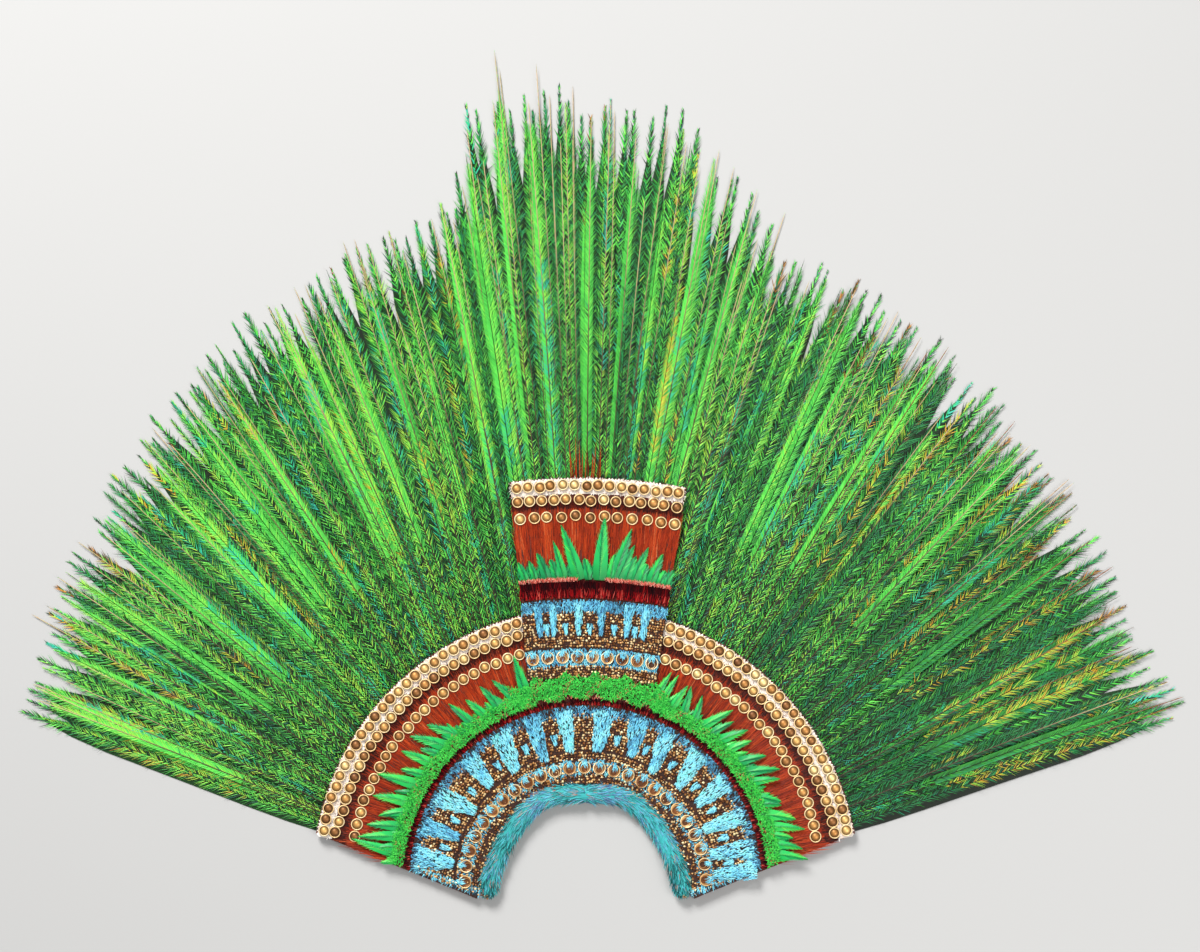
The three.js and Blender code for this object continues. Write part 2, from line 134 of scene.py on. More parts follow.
def tablet_half_angle(radius, raised=0.0):
    """Half the angle between the tablet's straight sides, seen from a middle raised up its axis."""
    inner, outer = TABLET_REACH
    narrow, wide = TABLET_HALF_WIDTHS
    flare = (wide - narrow) / (outer - inner)
    slope = math.atan(flare)
    start = narrow - flare * (inner - raised)
    return np.degrees(slope + np.arcsin(start * math.cos(slope) / radius))


def heighten(points, height):
    """Gives plane points their height."""
    height = np.broadcast_to(height, points.shape[:-1])
    return np.concatenate([points, height[..., None]], -1)


def smooth_step(x):
    """0 to 1 with a level start and end: 3x squared minus 2x cubed."""
    x = np.clip(x, 0, 1)
    return x * x * (3 - 2 * x)


def ripple(x, seed, octaves=3):
    """A smooth uneven line from -1 to 1: sines of doubling frequency and halving size."""
    total = sum(np.sin(x * 2**k * 6.283 + seed * (k + 1.7)) / 2**k for k in range(octaves))
    return total / 1.75


# ---------------------------------------------------------------- making meshes
def triangles(quads):
    """Each four-cornered face as two triangles."""
    return np.concatenate([quads[:, [0, 1, 2]], quads[:, [0, 2, 3]]])


def repeat_faces(faces, count, points_each):
    """The faces of one shape, numbered again for each of its copies."""
    return (faces[None] + np.arange(count)[:, None, None] * points_each).reshape(-1, faces.shape[1])


def blades(paths, width, height, tone, spread=0.012):
    """Closed three-cornered blades along paths (blade, station, xyz) to a sharp tip.

    At every station but the last, two corners stand half the width to either side of the path and a
    third stands the height above it. The shade is the tone, a little apart at each corner, and the
    share of the way along.
    """
    count, stations = paths.shape[:2]
    body = stations - 1
    run = np.diff(paths, axis=1)
    across = np.cross(run, UP)
    across /= np.maximum(np.linalg.norm(across, axis=-1, keepdims=True), 1e-9)
    half = np.broadcast_to(np.asarray(width, float) / 2, (count, body))[..., None]
    rise = np.broadcast_to(np.asarray(height, float), (count, body))[..., None] * UP
    base = paths[:, :-1]
    corners = np.stack([base - across * half, base + across * half, base + rise], 2)
    points = np.concatenate([corners.reshape(count, -1, 3), paths[:, -1:]], 1)
    ring = np.arange(3)
    after = (ring + 1) % 3
    faces = [np.array([[0, 1, 2]])]
    for i in range(body - 1):
        a, b = 3 * i, 3 * i + 3
        faces.append(triangles(np.stack([a + after, a + ring, b + ring, b + after], 1)))
    last = 3 * (body - 1)
    faces.append(np.stack([last + after, last + ring, np.full(3, 3 * body)], 1))
    tone = np.asarray(tone, float)[:, None, None]
    along = (np.arange(body) / body)[:, None]
    shade_u = np.broadcast_to(tone + [-spread, spread, 0.0], (count, body, 3))
    shade_v = np.broadcast_to(along + [0, 0, 0.05], (count, body, 3))
    shades = np.stack([shade_u, shade_v], -1).reshape(count, -1, 2)
    tip = np.stack([tone[:, 0], np.ones((count, 1))], -1)
    shades = np.concatenate([shades, tip], 1)
    each = 3 * body + 1
    return points.reshape(-1, 3), repeat_faces(np.concatenate(faces), count, each), shades.reshape(-1, 2)


def turned(centres, profile, sides, tone, squash=None, turn=None):
    """Closed shapes of revolution: the profile (radius, height) is swept round an upright axis at
    each centre, from a pole on top to a pole underneath."""
    profile = np.asarray(profile, float)
    count = len(centres)
    rings = profile[1:-1]
    angle = np.arange(sides) * 2 * np.pi / sides
    x = rings[:, None, 0] * np.cos(angle)
    y = rings[:, None, 0] * np.sin(angle)
    z = np.broadcast_to(rings[:, None, 1], x.shape)
    poles = [[0, 0, profile[0, 1]], [0, 0, profile[-1, 1]]]
    shape = np.concatenate([np.stack([x, y, z], -1).reshape(-1, 3), poles])
    points = np.broadcast_to(shape, (count, *shape.shape)).copy()
    if squash is not None:
        points *= squash[:, None, :]
    if turn is not None:
        points[..., :2] = rotated(points[..., :2], turn[:, None])
    points += centres[:, None, :]
    here = np.arange(sides)
    after = (here + 1) % sides
    top, bottom = len(shape) - 2, len(shape) - 1
    faces = [np.stack([here, after, np.full(sides, top)], 1)]
    for i in range(len(rings) - 1):
        a, b = i * sides, (i + 1) * sides
        faces.append(triangles(np.stack([b + here, b + after, a + after, a + here], 1)))
    last = (len(rings) - 1) * sides
    faces.append(np.stack([last + after, last + here, np.full(sides, bottom)], 1))
    far = profile[:, 0].max()
    # The second share runs from the axis out to the widest ring; the gold finishes paint the middle of the
    # top lighter and the edge darker, painted highlight and shade.
    share = np.concatenate([np.repeat(rings[:, 0] / far, sides), [0.0, 0.9]])
    wobble = np.concatenate([np.tile(0.012 * np.cos(angle), len(rings)), [0.0, 0.0]])
    tones = np.asarray(tone, float)[:, None] + wobble
    shades = np.stack([tones, np.broadcast_to(share, tones.shape)], -1)
    faces = repeat_faces(np.concatenate(faces), count, len(shape))
    return points.reshape(-1, 3), faces, shades.reshape(-1, 2)


def hoops(centres, radius, thickness, tone, round_steps, section_steps, tilt):
    """Closed wire rings: a small circle carried round a larger one about each centre, each ring
    tilted by its two slopes."""
    count = len(centres)
    radius = np.broadcast_to(radius, count)[:, None, None]
    a = (np.arange(round_steps) * 2 * np.pi / round_steps)[None, :, None]
    b = (np.arange(section_steps) * 2 * np.pi / section_steps)[None, None, :]
    reach = radius + thickness * np.cos(b)
    x, y = reach * np.cos(a), reach * np.sin(a)
    z = np.broadcast_to(thickness * np.sin(b), x.shape)
    z = z + x * tilt[:, 0, None, None] + y * tilt[:, 1, None, None]
    points = np.stack([x, y, z], -1) + centres[:, None, None, :]
    i, j = np.meshgrid(np.arange(round_steps), np.arange(section_steps), indexing="ij")
    on, up = (i + 1) % round_steps, (j + 1) % section_steps
    corners = [(p * section_steps + q).ravel() for p, q in ((i, j), (on, j), (on, up), (i, up))]
    faces = repeat_faces(triangles(np.stack(corners, 1)), count, round_steps * section_steps)
    u = np.asarray(tone, float)[:, None, None] + 0.012 * np.cos(a) + 0 * b
    # The second share runs round the wire's section from the underside to the top, which the gilt edge's
    # finish paints as shade below and a highlight above.
    v = 0.5 + 0.4 * np.sin(b) + 0 * u
    return points.reshape(-1, 3), faces, np.stack([u, v], -1).reshape(-1, 2)


def padded_tube(path, half_width, half_height, tone, sides=20):
    """One closed tube with an oval section carried along a flat path, its two ends drawn to points."""
    run = np.gradient(path, axis=0)
    across = np.cross(run, UP)
    across /= np.linalg.norm(across, axis=-1, keepdims=True)
    angle = np.arange(sides) * 2 * np.pi / sides
    ring = across[:, None] * (half_width[:, None, None] * np.cos(angle)[None, :, None])
    ring = ring + UP * (half_height[:, None, None] * np.sin(angle)[None, :, None])
    points = np.concatenate([(path[:, None] + ring).reshape(-1, 3), path[:1], path[-1:]])
    steps = len(path)
    here = np.arange(sides)
    after = (here + 1) % sides
    rows = (np.arange(steps - 1) * sides)[:, None]
    quads = np.stack([rows + here, rows + after, rows + sides + after, rows + sides + here], -1)
    first, last = steps * sides, steps * sides + 1
    end = (steps - 1) * sides
    faces = np.concatenate([
        triangles(quads.reshape(-1, 4))[:, ::-1],
        np.stack([after, here, np.full(sides, first)], 1)[:, ::-1],
        np.stack([end + here, end + after, np.full(sides, last)], 1)[:, ::-1],
    ])
    u = tone + 0.02 * np.cos(angle)[None, :] + 0.1 * np.linspace(0, 1, steps)[:, None]
    # The second share runs round the section from the underside to the top, where the roll's finish paints
    # shade below and light above.
    v = 0.5 + 0.45 * np.sin(angle)[None, :] + 0 * u
    shades = np.concatenate([np.stack([u, v], -1).reshape(-1, 2), [[tone, 0.5], [tone + 0.1, 0.5]]])
    return points, faces, shades


def make_piece(name, parts, packed=True, smooth=False):
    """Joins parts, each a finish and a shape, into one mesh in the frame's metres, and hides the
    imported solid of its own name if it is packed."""
    finishes = list(dict.fromkeys(finish for finish, _ in parts))
    points = np.concatenate([shape[0] for _, shape in parts])
    starts = np.cumsum([0] + [len(shape[0]) for _, shape in parts])
    faces = np.concatenate([shape[1] + start for (_, shape), start in zip(parts, starts)])
    shades = np.concatenate([shape[2] for _, shape in parts])
    which = np.concatenate([np.full(len(shape[1]), finishes.index(finish)) for finish, shape in parts])
    mesh = bpy.data.meshes.new(name)
    mesh.vertices.add(len(points))
    mesh.vertices.foreach_set("co", (points / 1000 + ARC_MIDDLE).astype(np.float32).ravel())
    mesh.loops.add(faces.size)
    mesh.loops.foreach_set("vertex_index", faces.astype(np.int32).ravel())
    mesh.polygons.add(len(faces))
    mesh.polygons.foreach_set("loop_start", np.arange(len(faces), dtype=np.int32) * 3)
    mesh.polygons.foreach_set("material_index", which.astype(np.int32))
    mesh.polygons.foreach_set("use_smooth", np.full(len(faces), smooth))
    mesh.update(calc_edges=True)
    shade_map = mesh.uv_layers.new(name="OFBake")
    corners = np.clip(shades[faces.ravel()], 0.002, 0.998)
    shade_map.uv.foreach_set("vector", corners.astype(np.float32).ravel())
    for finish in finishes:
        mesh.materials.append(finish)
    piece = bpy.data.objects.new(name, mesh)
    bpy.context.scene.collection.objects.link(piece)
    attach(piece, "root")
    if packed:
        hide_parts(name)
    return piece


# ---------------------------------------------------------------- finishes
def linear(red, green, blue):
    """A colour given in 0 to 255 as the shader wants it."""
    c = np.array([red, green, blue]) / 255
    return (*np.where(c <= 0.04045, c / 12.92, ((c + 0.055) / 1.055) ** 2.4), 1.0)


def new_material(name):
    """A material with its nodes, its links and its shader."""
    material = bpy.data.materials.new(name)
    material.use_nodes = True
    nodes = material.node_tree.nodes
    return material, nodes, material.node_tree.links, nodes["Principled BSDF"]


def new_node(nodes, kind, **values):
    """A shader node with some of its inputs set."""
    node = nodes.new("ShaderNode" + kind)
    for name, value in values.items():
        node.inputs[name].default_value = value
    return node


def new_ramp(nodes, links, source, stops):
    """A colour ramp, with its stops as (place, colour), fed by a socket; gives its colour socket."""
    node = nodes.new("ShaderNodeValToRGB")
    elements = node.color_ramp.elements
    while len(elements) < len(stops):
        elements.new(1.0)
    for element, (place, colour) in zip(elements, stops):
        element.position = place
        element.color = colour
    links.new(source, node.inputs["Fac"])
    return node.outputs["Color"]


def roughen(nodes, links, shader, source, strength, distance):
    """Feeds a socket to the shader's normal as a bump."""
    bump = new_node(nodes, "Bump", Strength=strength, Distance=distance)
    links.new(source, bump.inputs["Height"])
    links.new(bump.outputs["Normal"], shader.inputs["Normal"])


def strand_finish(name, tones, along, roughness, metal=0.0, sheen=0.0, shine=0.3, grain=2500.0, relief=0.15):
    """A finish for feathers and small metal: the piece's shade map picks the tone across and the
    painted light and shade along, and fine noise roughens it."""
    material, nodes, links, shader = new_material(name)
    where = nodes.new("ShaderNodeUVMap")
    where.uv_map = "OFBake"
    split = nodes.new("ShaderNodeSeparateXYZ")
    links.new(where.outputs["UV"], split.inputs[0])
    tone = new_ramp(nodes, links, split.outputs["X"], [(place, linear(*colour)) for place, colour in tones])
    greys = [(place, (value, value, value, 1.0)) for place, value in along]
    shade = new_ramp(nodes, links, split.outputs["Y"], greys)
    mix = nodes.new("ShaderNodeMix")
    mix.data_type = "RGBA"
    mix.blend_type = "MULTIPLY"
    mix.inputs["Factor"].default_value = 1.0
    links.new(tone, mix.inputs["A"])
    links.new(shade, mix.inputs["B"])
    links.new(mix.outputs["Result"], shader.inputs["Base Color"])
    place = nodes.new("ShaderNodeTexCoord")
    noise = new_node(nodes, "TexNoise", Scale=grain, Detail=2.0)
    links.new(place.outputs["Object"], noise.inputs["Vector"])
    span = nodes.new("ShaderNodeMapRange")
    span.inputs["To Min"].default_value, span.inputs["To Max"].default_value = roughness
    links.new(noise.outputs["Fac"], span.inputs["Value"])
    links.new(span.outputs["Result"], shader.inputs["Roughness"])
    roughen(nodes, links, shader, noise.outputs["Fac"], relief, 0.0004)
    shader.inputs["Metallic"].default_value = metal
    shader.inputs["Sheen Weight"].default_value = sheen
    shader.inputs["Sheen Roughness"].default_value = 0.4
    shader.inputs["Specular IOR Level"].default_value = shine
    return material


# Tones of the long plumes, from umber through gold, lime and green to teal and shadow.
UMBER, AMBER, OLIVE, LIME, BRIGHT, GREEN, DEEP, EMERALD, TEAL, SHADOW = (
    0.03, 0.15, 0.25, 0.35, 0.46, 0.57, 0.67, 0.77, 0.86, 0.97,
)
# Along each barb: darker at its root by the quill, painted shade, full in the middle and a little darker at
# its tip.
plume_barb = strand_finish(
    "iridescent_plume_barbs",
    [
        (0.0, (40, 26, 14)), (0.08, (112, 78, 36)), (AMBER, (222, 152, 46)), (OLIVE, (196, 212, 66)),
        (LIME, (158, 238, 86)), (BRIGHT, (98, 224, 86)), (GREEN, (66, 172, 62)), (DEEP, (38, 106, 38)),
        (EMERALD, (52, 206, 128)), (TEAL, (56, 186, 168)), (0.92, (26, 66, 26)), (1.0, (14, 22, 10)),
    ],
    [(0.0, 0.7), (0.2, 1.0), (0.8, 1.0), (1.0, 0.9)],
    roughness=(0.4, 0.55), metal=0.05,
)
quill = strand_finish(
    "horn_quill",
    [
        (0.0, (26, 34, 14)), (0.5, (60, 76, 34)), (0.62, (186, 166, 120)), (0.85, (214, 184, 142)),
        (1.0, (140, 66, 40)),
    ],
    [(0.0, 0.06), (0.4, 0.16), (0.68, 0.8), (1.0, 1.0)],
    roughness=(0.35, 0.5),
)
# Along each leaf and each of its barbs: dark at the root and the groove, painted shade, and lighter out to
# the edges and the tip, a painted highlight.
leaf_barb = strand_finish(
    "glossy_green_leaf_feather",
    [
        (0.0, (8, 66, 40)), (0.3, (16, 152, 86)), (0.55, (28, 196, 88)), (0.8, (88, 230, 84)),
        (1.0, (176, 240, 108)),
    ],
    [(0.0, 0.35), (0.3, 0.85), (0.8, 1.0), (1.0, 1.3)],
    roughness=(0.35, 0.5), metal=0.05, shine=0.4,
)
# Along each strand: darker at its root, painted shade where the strands cover each other, and lighter to the
# tip.
green_down = strand_finish(
    "fluffy_green_feather",
    [
        (0.0, (8, 56, 20)), (0.3, (22, 128, 44)), (0.6, (38, 196, 62)), (0.85, (84, 230, 84)),
        (0.93, (150, 128, 60)), (1.0, (206, 112, 80)),
    ],
    [(0.0, 0.6), (0.4, 0.95), (1.0, 1.1)],
    roughness=(0.5, 0.65), sheen=0.1,
)
# Along each strand: darker at its root, painted shade where the strands cover each other, and lighter to the
# tip.
rust_strand = strand_finish(
    "rust_feather",
    [
        (0.0, (40, 14, 12)), (0.35, (96, 30, 16)), (0.6, (162, 48, 18)), (0.85, (198, 76, 30)),
        (1.0, (210, 130, 84)),
    ],
    [(0.0, 0.8), (1.0, 1.05)],
    roughness=(0.5, 0.65), shine=0.15,
)
# Along each strand: darker at its root, painted shade where the strands cover each other, and lighter to the
# tip.
pale_down = strand_finish(
    "pale_pink_down",
    [(0.0, (120, 74, 62)), (0.3, (240, 212, 192)), (0.7, (255, 242, 228)), (1.0, (255, 252, 246))],
    [(0.0, 0.85), (1.0, 1.05)],
    roughness=(0.6, 0.8), sheen=0.2,
)
# Along each strand: darker at its root, painted shade where the strands cover each other, and lighter to the
# tip.
crimson_strand = strand_finish(
    "crimson_feather",
    [
        (0.0, (14, 0, 3)), (0.25, (58, 0, 5)), (0.5, (158, 8, 14)), (0.78, (230, 108, 92)),
        (1.0, (252, 192, 168)),
    ],
    [(0.0, 0.8), (0.6, 1.0), (1.0, 1.1)],
    roughness=(0.5, 0.65), shine=0.1,
)
# Along each strand: darker at its root, painted shade where the strands cover each other, and lighter to the
# tip.
turquoise_strand = strand_finish(
    "turquoise_feather",
    [
        (0.0, (10, 34, 46)), (0.15, (52, 96, 112)), (0.35, (84, 160, 204)), (0.55, (122, 222, 246)),
        (0.75, (168, 244, 252)), (0.88, (104, 228, 222)), (1.0, (214, 234, 232)),
    ],
    [(0.0, 0.6), (0.35, 0.95), (1.0, 1.08)],
    roughness=(0.45, 0.6), metal=0.05, sheen=0.1,
)
# Along each strand: darker at its root, painted shade where the strands cover each other, and lighter to the
# tip; round the padded core, the underside darker and the top lighter, painted shade and light.
roll_strand = strand_finish(
    "teal_and_blue_roll_feather",
    [
        (0.0, (12, 50, 58)), (0.25, (40, 140, 138)), (0.5, (76, 204, 204)), (0.75, (112, 186, 216)),
        (0.92, (70, 116, 168)), (1.0, (184, 156, 140)),
    ],
    [(0.0, 0.6), (0.35, 0.95), (1.0, 1.05)],
    roughness=(0.45, 0.6), metal=0.05, sheen=0.1,
)
# From the dome's crown out to the rim: a painted highlight on the crown, painted shade down the dome's
# sides, darkest in the groove at its foot.
gilt_disc = strand_finish(
    "gilt_sheet_disc",
    [(0.0, (104, 60, 30)), (0.35, (184, 128, 66)), (0.7, (222, 174, 102)), (1.0, (246, 212, 146))],
    [(0.0, 1.3), (0.25, 1.15), (0.5, 0.8), (0.68, 0.55), (0.76, 0.2), (0.9, 0.5), (1.0, 0.6)],
    roughness=(0.4, 0.55), metal=0.45, shine=0.5, grain=900.0, relief=0.2,
)
# Round the wire from its underside to its top: the underside darker, painted shade, and the top lighter, a
# painted highlight.
gilt_edge = strand_finish(
    "bright_gilt_edge",
    [(0.0, (160, 104, 52)), (0.4, (246, 206, 142)), (1.0, (255, 238, 196))],
    [(0.0, 0.45), (0.5, 0.9), (1.0, 1.15)],
    roughness=(0.3, 0.45), metal=0.35, shine=0.5, grain=900.0, relief=0.2,
)
# From the middle of a piece out to its edge: on the pebbles and ring plates, a painted highlight on the
# rounded top and painted shade towards the edge.
gold_nugget = strand_finish(
    "gold_mosaic_piece",
    [(0.0, (64, 32, 14)), (0.3, (138, 82, 38)), (0.6, (206, 150, 84)), (1.0, (252, 230, 176))],
    [(0.0, 1.1), (0.6, 0.9), (1.0, 0.7)],
    roughness=(0.3, 0.45), metal=0.3, shine=0.5, grain=1400.0, relief=0.3,
)


def ground_finish(name, dark, light, ribs, roughness, metal=0.0):
    """A woven ground: fine crossed ribs with blotches of a lighter and a darker colour."""
    material, nodes, links, shader = new_material(name)
    place = nodes.new("ShaderNodeTexCoord")
    weave = new_node(nodes, "TexWave", Scale=ribs, Distortion=1.5)
    blotch = new_node(nodes, "TexNoise", Scale=60.0, Detail=6.0)
    for node in (weave, blotch):
        links.new(place.outputs["Object"], node.inputs["Vector"])
    blend = nodes.new("ShaderNodeMath")
    blend.operation = "MULTIPLY"
    links.new(weave.outputs["Fac"], blend.inputs[0])
    links.new(blotch.outputs["Fac"], blend.inputs[1])
    colour = new_ramp(nodes, links, blend.outputs[0], [(0.1, linear(*dark)), (0.6, linear(*light))])
    links.new(colour, shader.inputs["Base Color"])
    roughen(nodes, links, shader, blend.outputs[0], 0.4, 0.0008)
    shader.inputs["Roughness"].default_value = roughness
    shader.inputs["Metallic"].default_value = metal
    return material


def refinish(node, material):
    """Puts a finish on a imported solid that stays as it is."""
    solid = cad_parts[node]
    solid.data.materials.clear()
    solid.data.materials.append(material)


rust_ground = ground_finish("rust_feather_netting", (44, 18, 14), (128, 52, 28), 220.0, 0.85)
gold_ground = ground_finish("dark_gold_ground", (22, 8, 4), (84, 40, 18), 160.0, 0.55, metal=0.3)
for panel_name in ("crescent", "tablet"):
    refinish(f"{panel_name}_panel", rust_ground)
    refinish(f"gold_mosaic_{panel_name}", gold_ground)

# ---------------------------------------------------------------- the fan of plumes
# A plume's place is a share of the fan from -1 at its left end to 1 at its right end.
CENTRE_SHARE = 0.19  # the tall middle block lies within this share
SPREAD_DEGREES = 79.0  # half the arc that the roots stand on
PLUME_ROOT = 409.0
LEAN = {-1: (11.5, 69.0), 1: (17.0, 71.0)}  # degrees from upright next to the middle block and at the end
# Lengths of the plumes at some shares, to the left, to the right and in the middle block.
LENGTHS = {
    -1: [(0.19, 650), (0.3, 640), (0.42, 625), (0.56, 595), (0.75, 545), (0.9, 532), (1.0, 508)],
    1: [(0.19, 622), (0.3, 614), (0.42, 602), (0.56, 578), (0.75, 549), (0.9, 541), (1.0, 567)],
}
CENTRE_LENGTHS = [
    (-0.19, 655), (-0.155, 690), (-0.125, 826), (-0.08, 836), (0, 822), (0.05, 804), (0.085, 812),
    (0.11, 744), (0.16, 716), (0.19, 655),
]
SIDE_BUNDLES, CENTRE_BUNDLES = 8, 5
TOP_PLUMES, UNDER_PLUMES = 12, 6  # in each bundle
LOOSE_VANE, CLEAR_VANE, UNDER_VANE = 11, 14, 34  # widths of the filled middle of a plume
TOP_BARBS, UNDER_BARBS = (2.75, 1.15), (5.6, 2.4)  # how far apart barbs stand, and how wide they are
BARB_LOWEST, BARB_HIGHEST = 0.4, 11.7  # heights that the tips of barbs keep between
QUILL_STATIONS = np.array([0, 0.15, 0.3, 0.45, 0.6, 0.72, 0.84, 0.93, 0.98, 1.0])


def plume_places(share):
    """Root, heading from upright and full length of the plume at each share of the fan."""
    side = np.where(share < 0, -1, 1)
    inner = np.where(share < 0, LEAN[-1][0], LEAN[1][0])
    end = np.where(share < 0, LEAN[-1][1], LEAN[1][1])
    away = np.clip((np.abs(share) - CENTRE_SHARE) / (1 - CENTRE_SHARE), 0, 1)
    middle = np.abs(share) < CENTRE_SHARE
    lean = np.where(middle, share / CENTRE_SHARE * inner, side * (inner + (end - inner) * away**1.12))
    root = polar(PLUME_ROOT, 90 - SPREAD_DEGREES * share)
    lengths = {s: np.interp(np.abs(share), *zip(*LENGTHS[s])) for s in (-1, 1)}
    length = np.where(share < 0, lengths[-1], lengths[1])
    length = np.where(middle, np.interp(share, *zip(*CENTRE_LENGTHS)), length)
    return root, np.radians(lean), length


def feather_spine(t, root, heading, length, bend, low, high, tip_height):
    """Points and directions on curved spines: straight along the heading, bent sideways with the
    square of the way along, rising to a mid height and falling to the tip's."""
    out = np.stack([np.sin(heading), np.cos(heading)], -1)[:, None]
    side = np.stack([out[..., 1], -out[..., 0]], -1)
    plane = root[:, None] + out * (t * length[:, None])[..., None]
    plane = plane + side * (bend[:, None] * t**2)[..., None]
    direction = out * length[:, None, None] + side * (2 * bend[:, None] * t)[..., None]
    direction /= np.linalg.norm(direction, axis=-1, keepdims=True)
    z = low[:, None] + (high - low)[:, None] * smooth_step(t / 0.35)
    z = z + (tip_height[:, None] - z) * smooth_step((t - 0.6) / 0.4)
    return heighten(plane, z), direction


def plume_barbs(rng, spines, reach, pitch, width, bare, golden, own, browned, loose):
    """Barbs on both sides of each quill, in clumps, at about half a right angle and closer together
    towards the tip. On bare tips only a few short ones are left. Each plume keeps its own green,
    which drifts along it, with gold, teal and brown stretches and dark barbs between."""
    n = len(reach)
    length = spines[2]
    m = int(length.max() / pitch)
    one = (n, m, 2)
    step = np.arange(m)
    u = (step[None, :, None] + rng.uniform(-0.5, 0.5, one)) / m
    t = np.clip(1.25 * u - 0.25 * u**2, 0.004, 0.997)
    start, direction = feather_spine(t.reshape(n, -1), *spines)
    start, direction = start.reshape(*one, 3), direction.reshape(*one, 2)
    side = np.broadcast_to(BOTH_SIDES, one)
    clump_size = 3 + (np.arange(n) % 4)[:, None]
    clump = step[None, :] // clump_size
    within = (step[None, :] % clump_size / (clump_size - 1) - 0.5)[..., None]
    rows = np.arange(n)[:, None]

    def per_clump(low, high):
        return rng.uniform(low, high, (n, m // 3 + 2, 2))[rows, clump]

    # Which way each barb points, and how long it is.
    each = rng.uniform(0, 9, (n, 1, 1))
    loose = 1 - (1 - loose[:, None, None]) * smooth_step((t - 0.22) / 0.25)
    turn = BARB_ANGLE + 4 * ripple(t * 3, side + each) + per_clump(-9, 9) - 10 * within
    turn = turn + rng.normal(0, 6, one)
    angle = np.radians(np.clip(turn, 12, 70)) * (1 - 0.5 * smooth_step((t - 0.84) / 0.16))
    profile = np.interp(t, [0, 0.05, 0.3, 0.75, 0.93, 1], [0.5, 0.75, 0.95, 1, 0.8, 0.25])
    start_bare = 1 - bare[:, None, None]
    thin = np.where(bare[:, None, None] > 0, smooth_step((t - start_bare + 0.02) / 0.03), 0.0)
    size = reach[:, None, None] / math.sin(math.radians(BARB_ANGLE + 2)) * profile * (1 - 0.62 * thin)
    size = size * (1 - loose * (1 - per_clump(0.55, 1.12))) * rng.uniform(0.75, 1.12, one)
    tip = start.copy()
    tip[..., :2] += rotated(direction, -side * angle) * size[..., None]
    tip[..., 2] += per_clump(-1.8, 2.4) + rng.uniform(-0.9, 1.1, one)
    tip[..., 2] = np.clip(tip[..., 2], BARB_LOWEST, BARB_HIGHEST)

    # Its colour: the plume's own green, with one half of the plume a little lighter than the other as
    # painted light, then the blue, golden and brown barbs, and dark barbs in shadow tones as painted shadow.
    tone = own[:, None, None] + 0.06 * ripple(t * 1.3, each) - 0.05 * side * np.sin(each)
    tone = tone + (0.45 + 0.55 * loose) * (per_clump(-0.09, 0.09) + rng.normal(0, 0.07, one))
    tone = np.clip(tone, LIME - 0.05, DEEP + 0.03)
    blue = (ripple(t * 0.9, each + 3) > 0.2) & (np.sin(each * 7) > 0.3) & (per_clump(0, 1) < 0.6)
    blue = blue & ((own < GREEN + 0.1) | (own > GREEN + 0.3))[:, None, None]
    tone = np.where(blue, rng.uniform(EMERALD - 0.02, TEAL, one), tone)
    edged = golden[:, None, None] & (ripple(t * 1.1, each + 5) > -0.1)
    edged = edged & (t > 0.3) & (per_clump(0, 1) < 0.65)
    tone = np.where(edged, rng.uniform(AMBER, OLIVE + 0.08, one), tone)
    brown = smooth_step((t - 0.8 - 0.15 * rng.random((n, 1, 1))) / 0.12) * 0.8 > rng.random(one)
    brown = brown & browned[:, None, None]
    tone = np.where(brown, UMBER + 0.1 * rng.random(one), tone)
    # Dark barbs in the shadow tones, more on loose plumes: painted shadow between the barbs.
    dark = (rng.random(one) < 0.05 + 0.23 * loose) & ~brown
    tone = np.where(dark, rng.uniform(0.9, SHADOW, one), tone)

    kept = rng.random(one) > 0.7 * thin
    paths = np.stack([start, tip], -2)[kept]
    wide = width * rng.uniform(0.7, 1.2, one) * (1 - 0.3 * thin)
    wide = (wide * (1 - 0.15 * smooth_step((t - 0.7) / 0.3)))[kept][:, None]
    return blades(paths, wide, wide * 0.3, tone[kept], spread=0.02)


